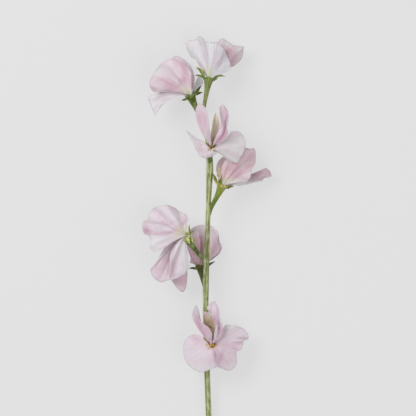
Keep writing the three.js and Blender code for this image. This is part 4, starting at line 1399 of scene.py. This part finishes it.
@dataclass(frozen=True)
class SepalShape:
    """What all sepals share.

    Attributes:
        thickness: The thickness at the root.
        root: How far below the mouth the sepal leaves the calyx.
        inset: How far its middle line lies inside the wall there.
        roll: How far it rolls about its middle line on its way out, in degrees.
        point: Half the width and half the thickness of its point.
        channel: The depth of its channel over its half width.
        lowest: How far its under side stays off the table.
        blend: How far out the lip's green goes over into its own, from 0 to 1.
        lit: How much paler than its middle one of its edges is painted, as painted light; the other edge is
            painted darker, as painted shade.
        rings, sides: Rings along it, and points round it.
    """

    thickness: float = 0.95
    root: float = 1.5
    inset: float = 0.35
    roll: float = 50.0
    point: Pair = (0.06, 0.03)
    channel: float = 0.21
    lowest: float = 0.02
    blend: float = 0.5
    lit: float = 0.6
    rings: int = 22
    sides: int = 16


# The green of each bloom's stalk, cup, lip and sepals; bloom 2's are painted darker, as painted shade under
# the stem.
CALYX_TINTS: dict[int, tuple[Colour, Colour, Colour, Colour]] = {
    1: ((104, 120, 58), (120, 132, 66), (190, 160, 74), (136, 138, 66)),
    2: ((74, 84, 38), (70, 76, 32), (100, 92, 48), (74, 78, 34)),
    3: ((64, 80, 32), (100, 116, 46), (212, 212, 140), (182, 188, 104)),
    4: ((96, 120, 40), (134, 142, 48), (214, 204, 116), (124, 134, 46)),
    5: ((98, 114, 54), (112, 122, 56), (170, 144, 60), (120, 122, 56)),
    6: ((54, 72, 8), (78, 93, 0), (94, 112, 0), (72, 88, 0)),
    7: ((140, 142, 88), (122, 134, 68), (92, 116, 14), (112, 130, 50)),
}


@dataclass
class Calyx:
    """One bloom's stalk, calyx and sepals.

    Attributes:
        plan: The bloom's plan.
        shape: The measures of the stalk and the cup.
        leaf: The measures of the sepals.
    """

    plan: BloomPlan
    shape: CalyxShape = CalyxShape()
    leaf: SepalShape = SepalShape()

    def __post_init__(self) -> None:
        """Works out the greens and the directions: the axis, bearing 0 and bearing 90."""
        self.greens = [linear(tint) for tint in CALYX_TINTS[self.plan.number]]
        self.mouth = np.array(self.plan.mouth, float)
        self.axis = unit(np.array(self.plan.axis, float))
        faces_up = self.axis[2] > 0.5
        front = np.array((0.0, -1.0, 0.0) if faces_up else (0.0, 0.0, 1.0))
        self.first = unit(front - self.axis * (front @ self.axis))
        self.left = np.cross(self.first, self.axis)

    def bearing(self, degrees: float) -> Array:
        """The direction out from the axis at a bearing."""
        angle = math.radians(degrees)
        return self.first * math.cos(angle) + self.left * math.sin(angle)

    def tips(self, angles: Array) -> Array:
        """How far the lip rises into the sepals' roots.

        Args:
            angles: Bearings round the lip.

        Returns:
            The sum of a bell curve at each sepal, which is lower where the sepal is short.
        """
        seats = np.radians([sepal.bearing for sepal in self.plan.sepals])
        off = (angles[:, None] - seats[None] + math.pi) % (2 * math.pi) - math.pi
        weights = np.minimum([sepal.length / self.shape.full_length for sepal in self.plan.sepals], 1)
        return bell(off, 0, math.radians(self.shape.root_angle)) @ weights

    def lip(self, angles: Array) -> Array:
        """How far the lip stands over the mouth: up into the sepals' roots, and uneven between them."""
        shape, number = self.shape, self.plan.number
        uneven = sum(rise * np.sin(waves * angles + turn * number) for rise, waves, turn in shape.lip_waves)
        return shape.root_rise * self.tips(angles) - shape.lip_low - self.plan.lip_drop + uneven

    def path(self) -> tuple[Array, Array]:
        """The stalk's middle line.

        It is a cubic from the node to the mouth that heads up the stem first and comes in along the axis.
        The rings stand closer towards the mouth, by the sine of a quarter turn.

        Returns:
            The middle of each ring, and its distance below the mouth.
        """
        node = np.array(self.plan.node, float)
        reach = np.linalg.norm(self.mouth - node)
        leave = node + np.array((0, self.shape.leave * reach, 0)) + self.plan.bend[0]
        arrive = self.mouth - self.axis * self.shape.arrive * reach + self.plan.bend[1]
        dense = cubic(node, leave, arrive, self.mouth, np.linspace(0, 1, 400)[:, None])
        gone = lengths(dense)
        t = np.sin(np.linspace(0, np.pi / 2, self.shape.rings))
        middles = np.stack([np.interp(t * gone[-1], gone, dense[:, k]) for k in range(3)], axis=1)
        return middles, gone[-1] * (1 - t)

    def cup(self) -> Shell:
        """The stalk and cup.

        Each ring is round, with soft ribs that show in the flare. The lip is scalloped up at the sepals and
        turns over into the inner wall.

        Returns:
            The closed shell.
        """
        shape = self.shape
        middles, below = self.path()
        tangents = unit(np.gradient(middles, axis=0))
        tangents[-3:] = self.axis
        angles = round_turn(shape.sides)
        side = unit(np.cross(tangents, self.first))
        top = np.cross(side, tangents)
        out = top[:, None] * np.cos(angles)[None, :, None] - side[:, None] * np.sin(angles)[None, :, None]
        show = smoothstep(below, *shape.rib_reach)[:, None]
        ribs = 1 + shape.rib_height * np.cos(shape.ribs * angles)[None] * show
        outer = middles[:, None] + out * (shape.radius(below)[:, None] * ribs)[..., None]
        down = np.linspace(0, shape.depth, shape.inner_rings)
        hollow = (shape.radius(down) - shape.wall)[:, None] * np.ones(shape.sides)
        inner = (self.mouth - self.axis * down[:, None])[:, None] + out[-1][None] * hollow[..., None]
        lift = smoothstep(np.concatenate([below, down]), shape.lip_reach, 0.0)
        rise = self.lip(angles)[None] * lift[:, None]
        rings = np.concatenate([outer, inner]) + self.axis * rise[..., None]
        depth_below = np.concatenate([below, -down])
        return tube(rings, depth_below, self.paint(depth_below, angles))

    def paint(self, below: Array, angles: Array) -> Array:
        """The green of the stalk and cup.

        Args:
            below: The distance below the mouth of each ring, negative inside the cup.
            angles: The bearing of each point of a ring.

        Returns:
            Linear colours: the stalk's green goes over into the cup's in the flare and into the lip's at
            the mouth, and each rib is a little paler than the furrow beside it.
        """
        stalk, cup, lip, _ = self.greens
        flare = smoothstep(below, *self.shape.cup_green)[:, None, None]
        edge = smoothstep(below, *self.shape.lip_green)[:, None, None]
        colour = stalk + (cup - stalk) * flare
        colour = colour + (lip - colour) * edge
        return colour * (1 + self.shape.rib_light * np.cos(self.shape.ribs * angles)[None, :, None] * flare)

    def sepal(self, sepal: Sepal) -> Shell:
        """One sepal.

        A flattened oval is carried along an arc that leaves the calyx wall at the lean angle and bends on by
        the curl. With t the way from root to point, its width falls as (1 − t²) to the power 0.85 and its
        thickness as (1 − 0.65t)(1 − t⁶). It rolls by the sine of 0.7t half turns until that is full. Its
        edges are raised by the square of the way to them, which leaves a shallow channel.

        Args:
            sepal: Its plan.

        Returns:
            The closed shell.
        """
        leaf = self.leaf
        out = self.bearing(sepal.bearing)
        t = np.linspace(0, 1, leaf.rings)
        angle = np.radians(sepal.lean + sepal.curl * t)
        along = self.axis * np.cos(angle)[:, None] + out * np.sin(angle)[:, None]
        step = (sepal.length + leaf.root) / (leaf.rings - 1)
        root = self.mouth - self.axis * leaf.root
        root = root + out * (self.shape.radius(np.array(leaf.root)) - leaf.inset)
        middles = root + np.concatenate([[np.zeros(3)], np.cumsum(along[:-1] * step, axis=0)])
        across = unit(np.cross(along, out * np.cos(angle)[:, None] - self.axis * np.sin(angle)[:, None]))
        upward = np.cross(across, along)
        roll = (math.radians(leaf.roll) * np.sin(np.pi * np.minimum(t * 0.7, 0.5)))[:, None]
        halfway = leaf.rings // 2
        if across[halfway, 2] * upward[halfway, 2] > 0:
            roll = -roll
        turned = across * np.cos(roll) + upward * np.sin(roll)
        upward = upward * np.cos(roll) - across * np.sin(roll)
        cosine, sine = np.cos(round_turn(leaf.sides)), np.sin(round_turn(leaf.sides))
        half = sepal.width / 2 * (1 - t * t) ** 0.85 + leaf.point[0]
        thick = leaf.thickness / 2 * (1 - 0.65 * t) * (1 - t**6) + leaf.point[1]
        flat = cosine * half[:, None]
        raised = sine * thick[:, None] + leaf.channel * cosine**2 * half[:, None]
        rings = middles[:, None] + turned[:, None] * flat[..., None] + upward[:, None] * raised[..., None]
        rings[..., 2] = np.maximum(rings[..., 2], leaf.lowest)
        _, _, lip, own = self.greens
        blend = smoothstep(t, 0.0, leaf.blend)[:, None, None]
        # Painted light along one edge of the sepal and painted shade along the other.
        light = 1 + (leaf.lit * cosine - leaf.lit / 3 * np.abs(cosine) ** 3)[None, :, None]
        return tube(rings, t * sepal.length, (lip + (own - lip) * blend) * light)

    def build(self) -> Shell:
        """Makes the calyx's piece.

        Returns:
            The shell of the cup, for the hairs to stand on.
        """
        cup = self.cup()
        whole = cup.joined(*(self.sepal(one) for one in self.plan.sepals))
        whole.piece(f"bloom_{self.plan.number}_calyx", "stem", Finish.CALYX)
        return cup


@dataclass(frozen=True)
class PetalForm:
    """What all petals share in form. Places run from -1 to 1 across a petal and from 0 to 1 out along it.

    Attributes:
        thickness, rim_thickness: The thickness at the foot and at the rim.
        thinning: The place from which it grows thinner.
        foot_depth: How far below the mouth the foot lies.
        longest_claw: The longest claw, as a share of the way to the rim.
        swell_at: Where the cup swells it most, as a share of that way.
        lip_clearance: How far along the axis it is lifted there, to clear the lip.
        groove: The half width of the groove along the rib.
        groove_gain: The groove's depth over u²(1 − u), with u the place out.
        pleat_places: How far out to either side the pleats may lie.
        pleat_widths: The least and the greatest half width of a pleat.
        fold_rise: How far out from its start a fold takes to be full.
        fold_sway, pleat_sway: How far a fold and a pleat sway across on their way out.
    """

    thickness: float = 0.34
    rim_thickness: float = 0.14
    thinning: float = 0.35
    foot_depth: float = 2.6
    longest_claw: float = 0.7
    swell_at: float = 0.6
    lip_clearance: float = 1.5
    groove: float = 0.16
    groove_gain: float = 5.0
    pleat_places: float = 0.85
    pleat_widths: Pair = (0.035, 0.09)
    fold_rise: float = 0.35
    fold_sway: float = 0.05
    pleat_sway: float = 0.06


@dataclass(frozen=True)
class PetalPaint:
    """What all petals share in colour: how strong each coat is, and where it begins and is full.

    Attributes:
        throat, throat_reach: The throat's tint, and its places on the way out.
        band, band_reach: The paler band inside the rim, and its places.
        furrow, crest: The rose of the painted shade in a furrow and the snow of the painted highlight on a
            crest, each for 1 mm.
        edge, edge_reach: The grey of the painted shade along the very edge, and its places.
        side_reach, side_start: The edge's places on the way to either side, and out along the sides.
    """

    throat: float = 0.8
    throat_reach: Pair = (0.36, 0.1)
    band: float = 0.3
    band_reach: Pair = (0.84, 0.95)
    furrow: float = 0.26
    crest: float = 0.28
    edge: float = 0.34
    edge_reach: Pair = (0.955, 1.0)
    side_reach: Pair = (0.965, 1.0)
    side_start: Pair = (0.3, 0.6)


def coated(colour: Array, tint: Tint, amount: Array) -> Array:
    """Linear colours with this much of a tint over them."""
    return colour + (linear(tint.value) - colour) * amount[..., None]


@dataclass
class Petal:
    """One petal of a bloom.

    Attributes:
        calyx: The calyx that it is seated in.
        kind: Which of the bloom's petals it is.
        form: The measures that all petals share.
        coats: The coats of colour that all petals share.
    """

    calyx: Calyx
    kind: PetalKind
    form: PetalForm = PetalForm()
    coats: PetalPaint = PetalPaint()

    def __post_init__(self) -> None:
        """Takes the petal's plan from its bloom's, and starts its random draw."""
        self.cut = self.kind.value
        self.number = self.calyx.plan.number
        self.plan: PetalPlan = getattr(self.calyx.plan, self.cut.name)
        self.random = np.random.default_rng([SEED, self.number, list(PetalKind).index(self.kind)])

    def veins(self) -> Array:
        """The petal's smooth middle surface.

        Veins run from the foot to the rim. Each is a cubic that leaves the foot along the calyx for the
        length of the claw. With v the place across, the claw is shorter at the sides by v², and the vein
        swells by the cup times 1 − v². The sides bulge by the bows times the square of the way to them.

        Returns:
            A grid of points, its rows along the veins and its columns from vein to vein.
        """
        cut, plan, form, axis = self.cut, self.plan, self.form, self.calyx.axis
        rim = SmoothCurve(plan.rim).spaced(cut.columns)
        out = self.calyx.bearing(plan.seat)
        side = np.cross(axis, out)
        if side @ (rim[-1] - rim[0]) < 0:
            side = -side
        foot = self.calyx.mouth - axis * form.foot_depth + out * cut.from_axis
        v = np.linspace(-1, 1, cut.columns + 1)[:, None]
        start = foot + side * v * cut.half_foot
        tip = rim + self.calyx.mouth
        reach = np.linalg.norm(tip - start, axis=1, keepdims=True)
        claw = np.minimum(plan.claw * (1 - cut.shorter * v * v), form.longest_claw * reach)
        swell = start + form.swell_at * (tip - start) + axis * form.lip_clearance
        swell = swell + np.array(plan.cup) * (1 - v * v)
        first_bow, last_bow = (np.array(bow, float) for bow in plan.bows)
        swell = swell + first_bow * ((1 - v) / 2) ** 2 + last_bow * ((1 + v) / 2) ** 2
        return cubic(start, start + axis * claw, swell, tip, np.linspace(0, 1, cut.rows + 1)[:, None, None])

    def relief(self, u: Array, v: Array) -> Array:
        """How far each point stands off the smooth surface.

        The waves grow as u² towards the rim; the rib's groove is a bell curve across it. Over these lie the
        ruffle, a finer wave of uneven height that grows as u⁶, the pleats and the folds.

        Args:
            u: The place of each point out along the petal.
            v: Its place across.

        Returns:
            One height for each point.
        """
        cut, wave = self.cut, self.plan.wave
        ripple = wave.height * u * u * np.sin(np.pi * (wave.start + wave.half_waves * (v + 1) / 2))
        groove = self.plan.crease * u * u * (1 - u) * self.form.groove_gain * bell(v, 0, self.form.groove)
        start, swing, lean = self.random.uniform(0, 2 * np.pi, 3)
        uneven = 0.6 + 0.4 * np.sin(2.3 * v * np.pi + swing)
        ruffle = cut.ruffle * u**6 * uneven * np.sin(np.pi * cut.ruffles * (v + 0.1 * np.sin(5 * v)) + start)
        return ripple - groove + ruffle + self.pleats(u, v, lean) + self.folds(u, v)

    def folds(self, u: Array, v: Array) -> Array:
        """The planned folds.

        Args:
            u: The place of each point out along the petal.
            v: Its place across.

        Returns:
            The sum of a bell curve across the petal for each, which rises softly from its start.
        """
        total = np.zeros_like(u)
        for fold in self.plan.folds:
            bend = fold.across + self.form.fold_sway * np.sin(6 * u + 9 * fold.across)
            rise = smoothstep(u, fold.start, fold.start + self.form.fold_rise)
            total += fold.depth * bell(v, bend, fold.width) * rise
        return total

    def pleats(self, u: Array, v: Array, lean: float) -> Array:
        """Shallow pleats with seeded places.

        Args:
            u: The place of each point out along the petal.
            v: Its place across.
            lean: Where in its swing their sway starts.

        Returns:
            The sum of a bell curve across the petal for each, times u and the sine of u^1.3 half turns.
        """
        cut, form = self.cut, self.form
        places = self.random.uniform(-form.pleat_places, form.pleat_places, cut.pleats)
        widths = self.random.uniform(*form.pleat_widths, cut.pleats)
        depths = self.random.uniform(-cut.pleat_depth, cut.pleat_depth, cut.pleats) * self.plan.pleating
        total = np.zeros_like(u)
        for place, width, depth in zip(places, widths, depths):
            bend = place + form.pleat_sway * np.sin(2.2 * u + lean + place * 5)
            total += depth * bell(v, bend, width) * np.sin(np.pi * u**1.3) * u
        return total

    def colour(self, grid: Array, u: Array, v: Array) -> Array:
        """Paints the petal.

        Over its ground colour lie the throat's tint and a paler band inside the rim. Each wash is laid on by
        exp(−x² − y²), with x and y the distances along and across the oval over its reach. Then painted shade
        makes the furrows rosier and the very edge greyer, and painted highlight makes the crests paler.

        Args:
            grid: The petal's surface.
            u: The place of each point out along the petal.
            v: Its place across.

        Returns:
            A linear colour for each point.
        """
        coats = self.coats
        ground = np.broadcast_to(linear(self.plan.ground), grid.shape)
        colour = coated(ground, self.plan.throat, coats.throat * smoothstep(u, *coats.throat_reach))
        colour = coated(colour, SNOW, coats.band * smoothstep(u, *coats.band_reach))
        seen = grid[..., :2] - self.calyx.mouth[:2]
        for wash in self.plan.washes:
            turn = math.radians(wash.turn)
            away = seen - np.array(wash.at)
            x = (away @ (math.cos(turn), math.sin(turn))) / wash.reach[0]
            y = (away @ (-math.sin(turn), math.cos(turn))) / wash.reach[1]
            colour = coated(colour, wash.tint, wash.strength * np.exp(-x * x - y * y))
        # Painted shade in the folds' furrows and painted highlight on their crests.
        height = self.folds(u, v)
        colour = coated(colour, ROSE, coats.furrow * np.clip(-height, 0, 1))
        colour = coated(colour, SNOW, coats.crest * np.clip(height, 0, 1))
        # Painted shade along the very edge and down the sides.
        sides = smoothstep(np.abs(v), *coats.side_reach) * smoothstep(u, *coats.side_start)
        return coated(colour, RIM_SHADE, coats.edge * np.maximum(smoothstep(u, *coats.edge_reach), sides))

    def build(self) -> None:
        """Makes the petal's piece: its surface with the relief, thinner towards the rim, over the table."""
        smooth, form = self.veins(), self.form
        u, v = grid_places(smooth.shape, -1)
        grid = smooth + grid_normals(smooth) * self.relief(u, v)[..., None]
        thinner = smoothstep(u, form.thinning, 1.0)
        thickness = form.thickness + (form.rim_thickness - form.thickness) * thinner
        floor = thickness / 2 * np.abs(grid_normals(grid)[..., 2])
        grid[..., 2] = np.maximum(grid[..., 2], floor)
        shell = blade(grid, thickness, self.colour(grid, u, v)).faced_out()
        node = f"bloom_{self.number}_{self.cut.name}"
        tan = self.kind is PetalKind.KEEL and self.number in TAN_KEELS
        shell.piece(f"{node}_petal", node, Finish.KEEL if tan else Finish.PETAL)


@dataclass(frozen=True)
class Stem:
    """The main stem, from its cut end to the tip.

    Attributes:
        line: The centre line, with the radius at each point: x, y, z, radius.
        butt_height: The centre line's height over the table where the cut end lies flat.
        rings, sides: Rings along it, and points round it.
        ribs, rib_height: How many soft ribs run along it, and their height over the radius.
        swelling, node_reach: How far it swells at a bloom's node, and how far along that reaches.
        butt: How much thinner it is at the very cut, and the part of its length where it is.
        tip_from: The place, from 0 to 1, from which it closes over the tip.
        bands: Where it is painted darker or paler: the height up the stem, the reach and the gain in light.
            The dark band round 166 mm is painted shadow of the petals over the stem.
        green, shade, furrow_shade: Its colour, the colour of its furrows, and the strength of that.
        cut_profile: Each ring of the cut face: its radius over the face's, and how far in it lies.
        cut_share: The face's radius over the stem's.
        cut_lift: How far out from the stem's end the face is moved.
        cut_tints, cut_sides: The colours of rind, flesh and pith, and the points round the face.
    """

    line: tuple[tuple[float, float, float, float], ...] = (
        (0, -6, 2.0, 2.0), (0, 5, 2.0, 2.0), (-0.6, 25, 2.8, 2.0), (-2.4, 72, 7.0, 2.0),
        (-3.4, 103, 10.8, 2.0), (-3.8, 131, 14.0, 2.0), (-3.2, 158, 16.8, 1.95), (-2.5, 177, 18.0, 1.7),
        (-1.6, 201, 18.8, 1.75), (-1.3, 213, 19.2, 2.1), (-0.9, 225, 19.6, 2.35), (-1.6, 238, 20.0, 1.8),
        (-4.0, 252, 20.2, 1.3),
    )
    butt_height: float = 2.0
    rings: int = 620
    sides: int = 40
    ribs: int = 5
    rib_height: float = 0.05
    swelling: float = 0.16
    node_reach: float = 3.2
    butt: Pair = (0.06, 0.004)
    tip_from: float = 0.985
    bands: tuple[Point, ...] = (
        (166, 22, -0.48), (180, 5, -0.12), (128, 7, 0.24), (192, 5, 0.3), (68, 14, -0.06),
    )
    green: Colour = (189, 192, 138)
    shade: Colour = (124, 134, 74)
    furrow_shade: float = 0.9
    cut_profile: tuple[Pair, ...] = (
        (1.0, 0.25), (0.995, 0.12), (0.96, 0.02), (0.9, 0.0), (0.82, -0.02), (0.62, 0.03), (0.42, 0.1),
        (0.22, 0.22), (0.02, 0.3),
    )
    cut_share: float = 0.93
    cut_lift: float = 0.06
    cut_tints: tuple[Colour, Colour, Colour] = ((140, 150, 92), (190, 196, 148), (222, 222, 196))
    cut_sides: int = 48

    def shell(self) -> Shell:
        """The stem's surface.

        Round rings ride along the centre line. The radius has soft ribs that twist half a turn on the way, a
        swelling as a bell curve at each bloom's node, and closes over the tip as a quarter circle.

        Returns:
            The closed shell.
        """
        t = np.linspace(0, 1, self.rings)
        centres = SmoothCurve(tuple(p[:3] for p in self.line)).at(t)
        radius = SmoothCurve(tuple((p[3], p[1], 0.0) for p in self.line)).at(t)[:, 0]
        centres[:, 2] = np.maximum(centres[:, 2], self.butt_height)
        tangents = unit(np.gradient(centres, axis=0))
        side = unit(np.cross(tangents, (0, 0, 1)))
        top = np.cross(side, tangents)
        turn = round_turn(self.sides)
        out = side[:, None] * np.cos(turn)[None, :, None] + top[:, None] * np.sin(turn)[None, :, None]
        ribs = np.cos(self.ribs * (turn[None] + np.pi * t[:, None]))
        butt = 1 - self.butt[0] * smoothstep(t, self.butt[1], 0.0)
        tip = np.sqrt(np.clip(1 - smoothstep(t, self.tip_from, 1.0) ** 2, 0.02, 1))
        size = radius[:, None] * (1 + self.rib_height * ribs) * (butt * tip)[:, None]
        size += self.swelling * self.swell(centres, out)
        rings = centres[:, None] + out * size[..., None]
        rings[..., 2] = np.maximum(rings[..., 2], 0)
        return tube(rings, centres[:, 1] / 10, self.paint(t, ribs, centres[:, 1]))

    def swell(self, centres: Array, out: Array) -> Array:
        """How much the stem swells at the nodes.

        Args:
            centres: The middle of each ring.
            out: The direction out of each point.

        Returns:
            For each point the sum over the blooms of a bell curve along the stem, twice as high on the side
            that faces the bloom as on the far side.
        """
        total = np.zeros(out.shape[:2])
        for plan in BLOOMS:
            node = np.array(plan.node)
            towards = unit(np.array(plan.mouth) - node)
            near = bell(centres[:, 1], node[1], self.node_reach)
            total += near[:, None] * (0.5 + 0.5 * np.clip(out @ towards, 0, 1))
        return total

    def paint(self, t: Array, ribs: Array, height: Array) -> Array:
        """The green of the stem: darker in the furrows, with bell curves along it for the bands, one of them
        painted shadow.

        Args:
            t: The place of each ring, from 0 to 1.
            ribs: From -1 in a furrow to 1 on a rib, at each point.
            height: How far up the stem each ring is.

        Returns:
            A linear colour for each point.
        """
        furrow = 0.5 - 0.5 * ribs
        green, shade = linear(self.green), linear(self.shade)
        colour = green + (shade - green) * (self.furrow_shade * furrow)[..., None]
        depth = 1 + 0.06 * np.sin(23 * t)
        # The bands, among them the dark band of painted shadow under the petals over the stem.
        for at, reach, gain in self.bands:
            depth = depth + gain * bell(height, at, reach)
        return colour * depth[:, None, None] ** np.array((1.0, 1.0, 1.3))

    def cut_end(self) -> Shell:
        """The cut face: a shallow dome with a raised rind and a pale hollow pith.

        Returns:
            The closed shell of a thin disc that caps the stem.
        """
        reach, depth = np.array(self.cut_profile).T
        turn = round_turn(self.cut_sides)
        uneven = 1 + 0.015 * np.sin(3 * turn + 0.6) + 0.01 * np.sin(7 * turn)
        ring = np.stack([np.cos(turn), np.zeros_like(turn), np.sin(turn)], axis=1) * uneven[:, None]
        *centre, radius = self.line[0]
        rings = np.array(centre, float) + ring[None] * (radius * self.cut_share * reach)[:, None, None]
        rings[..., 1] += depth[:, None] - self.cut_lift
        rind, flesh, pith = (linear(tint) for tint in self.cut_tints)
        colour = rind + (flesh - rind) * smoothstep(reach, 0.98, 0.85)[:, None]
        colour = colour + (pith - colour) * smoothstep(reach, 0.6, 0.35)[:, None]
        return tube(rings, reach, np.repeat(colour[:, None], self.cut_sides, axis=1))

    def build(self) -> Shell:
        """Makes the stem and its cut end.

        Returns:
            The stem's shell, for the hairs to stand on.
        """
        shell = self.shell()
        shell.piece("stem_main", "stem", Finish.STEM)
        self.cut_end().piece("stem_cut_end", "stem", Finish.STEM)
        return shell


@dataclass(frozen=True)
class Down:
    """Short soft hairs on the stem and the calyxes.

    Attributes:
        stem_hairs, calyx_hairs: How many hairs stand on the stem, and on each calyx.
        length: The shortest and the longest.
        root, sunk: A hair's radius at its root, and how deep the root is set.
        lean: How far it leans, as the spread of each coordinate of its direction.
        lowest: How high over the table the hairs begin.
        askew: A direction that no hair stands along.
        grey: The value of their colour attribute.
    """

    stem_hairs: int = 5200
    calyx_hairs: int = 240
    length: Pair = (0.25, 0.7)
    root: float = 0.028
    sunk: float = 0.03
    lean: float = 0.3
    lowest: float = 0.9
    askew: Point = (0.31, 0.17, 0.93)
    grey: float = 0.6

    def shell(self, ground: Shell, count: int, seed: int) -> Shell:
        """Hairs on a tube's walls.

        A hair is a three-sided cone. Its root lies in a seeded quad of the walls, and it stands along the
        quad's normal with a seeded lean.

        Args:
            ground: The tube.
            count: The number of hairs.
            seed: Where the random draw starts.

        Returns:
            All the hairs in one shell.
        """
        random = np.random.default_rng([SEED, seed])
        quads = ground.points[ground.faces[0]]
        normals = unit(np.cross(quads[:, 2] - quads[:, 0], quads[:, 3] - quads[:, 1]))
        middle = quads.mean(1)
        chosen = random.permutation(np.flatnonzero(middle[:, 2] > self.lowest))[:count]
        root, up = middle[chosen], normals[chosen]
        up = unit(up + random.normal(0, self.lean, up.shape))
        length = random.uniform(*self.length, len(chosen))[:, None]
        side = unit(np.cross(up, self.askew))
        other = np.cross(up, side)
        ring = [
            root - up * self.sunk + (side * math.cos(angle) + other * math.sin(angle)) * self.root
            for angle in round_turn(3)
        ]
        points = np.stack([*ring, root + up * length], axis=1).reshape(-1, 3)
        first = 4 * np.arange(len(chosen))[:, None]
        faces = np.concatenate([first + face for face in ((0, 1, 3), (1, 2, 3), (2, 0, 3), (0, 2, 1))])
        flat = np.zeros(len(points))
        return Shell(points, [faces], flat, flat, np.full(points.shape, self.grey)).faced_out()

    def build(self, stem: Shell, cups: list[Shell]) -> None:
        """Makes the hairs of the stem and of the calyxes, as a piece each.

        Args:
            stem: The stem's shell.
            cups: The shells of the calyxes.
        """
        self.shell(stem, self.stem_hairs, 0).piece("stem_down", "stem", Finish.DOWN)
        tufts = [self.shell(cup, self.calyx_hairs, k + 1) for k, cup in enumerate(cups)]
        tufts[0].joined(*tufts[1:]).piece("calyx_down", "stem", Finish.DOWN)


@dataclass(frozen=True)
class Eye:
    """The two small pads at the foot of a banner, side by side in the bloom's mouth.

    Attributes:
        offset, apart: Their middle, measured from the mouth, and how far each lies from that to its side.
        radii: Their half sizes.
        pole: The angle from either end of a pad to its first ring.
        rings, sides: Rings from pole to pole, and points round a ring.
    """

    offset: Point = (0.2, -0.2, 1.5)
    apart: float = 0.6
    radii: Point = (0.95, 0.8, 0.9)
    pole: float = 0.05
    rings: int = 14
    sides: int = 20

    def build(self, plan: BloomPlan) -> None:
        """Makes the pads: two ellipsoids, with rings from pole to pole.

        Args:
            plan: The bloom.
        """
        polar = np.linspace(self.pole, np.pi - self.pole, self.rings)[:, None]
        turn = round_turn(self.sides)[None]
        sphere = (np.sin(polar) * np.cos(turn), np.sin(polar) * np.sin(turn), np.cos(polar) + 0 * turn)
        ball = np.stack(sphere, axis=-1)
        middle = np.array(plan.mouth) + self.offset
        colour = np.broadcast_to(linear(plan.eye.value), ball.shape)
        middles = (middle + (way * self.apart, 0, 0) for way in (-1, 1))
        left, right = (tube(place + ball * self.radii, polar[:, 0], colour) for place in middles)
        node = f"bloom_{plan.number}_banner"
        left.joined(right).piece(f"{node}_eye", node, Finish.EYE)


@dataclass(frozen=True)
class Bloom:
    """One bloom: its calyx and its four petals, by its plan."""

    plan: BloomPlan

    def build(self) -> Shell:
        """Makes the bloom's pieces.

        Returns:
            The shell of the calyx's cup.
        """
        calyx = Calyx(self.plan)
        for kind in PetalKind:
            Petal(calyx, kind).build()
        if self.plan.eye:
            Eye().build(self.plan)
        return calyx.build()


@dataclass(frozen=True)
class Lamp:
    """A square soft light: its name, where it hangs and its side in metres, and its power in watts."""

    name: str
    place: Point
    size: float
    power: float


@dataclass(frozen=True)
class Studio:
    """The camera straight above the flower, the pale table and the soft light. Lengths are in metres.

    Attributes:
        centre: The point that the camera looks down on.
        distance: Its height above that point.
        lens, sensor: Its focal length and the width of its sensor, in millimetres.
        clip: The nearest and the farthest that it sees.
        sky: The brightness of the even light from all round.
        lamps: The lamps, which shine at the centre.
        half_table, table_level: Half the table's side, and where its top lies.
    """

    centre: Point = (-0.0021, 0.1956, 0.017)
    distance: float = 2.022
    lens: float = 250.0
    sensor: float = 36.0
    clip: Pair = (0.05, 20)
    sky: float = 0.46
    lamps: tuple[Lamp, Lamp] = (
        Lamp("key", (-0.85, 0.8, 1.15), 0.8, 12.5),
        Lamp("fill", (0.8, -0.3, 1.4), 1.4, 7.75),
    )
    half_table: float = 3.0
    table_level: float = -0.0002

    def camera(self) -> None:
        """Makes the camera, which looks straight down with the stem's tip at the top."""
        camera = added("camera", bpy.data.cameras.new("camera"))
        camera.data.lens = self.lens
        camera.data.sensor_width = self.sensor
        camera.data.clip_start, camera.data.clip_end = self.clip
        x, y, z = self.centre
        camera.location = (x, y, z + self.distance)
        bpy.context.scene.camera = camera

    def light(self, lamp: Lamp) -> None:
        """Hangs a lamp that shines at the centre.

        Args:
            lamp: The lamp.
        """
        data = bpy.data.lights.new(lamp.name, "AREA")
        data.size = lamp.size
        data.energy = lamp.power
        hung = added(lamp.name, data)
        hung.location = lamp.place
        aim = np.array(self.centre) - np.array(lamp.place)
        hung.rotation_mode = "QUATERNION"
        hung.rotation_quaternion = Vector(aim).to_track_quat("-Z", "Y")

    def table(self) -> None:
        """The pale table under the flower, level with the lowest petals."""
        half, under = self.half_table, self.table_level
        mesh = bpy.data.meshes.new("table")
        corners = [(-half, -half, under), (half, -half, under), (half, half, under), (-half, half, under)]
        mesh.from_pydata(corners, [], [(0, 1, 2, 3)])
        mesh.materials.append(TableFinish("table_pale").material())
        table = added("table", mesh)

    def build(self) -> None:
        """Sets up the camera, the table, the light from all round and the lamps."""
        self.camera()
        self.table()
        world = bpy.data.worlds.new("studio")
        world.use_nodes = True
        background = world.node_tree.nodes["Background"]
        background.inputs["Color"].default_value = (1.0, 1.0, 1.0, 1.0)
        background.inputs["Strength"].default_value = self.sky
        bpy.context.scene.world = world
        for lamp in self.lamps:
            self.light(lamp)
        bpy.context.scene.view_settings.view_transform = "Standard"


def main() -> None:
    """Sets up the studio, then builds the blooms, the stem and the down."""
    logging.basicConfig(level=logging.INFO, format="%(name)s: %(message)s")
    Studio().build()
    cups = [Bloom(plan).build() for plan in BLOOMS]
    stem = Stem().build()
    Down().build(stem, cups)


if __name__ == "__main__":
    main()
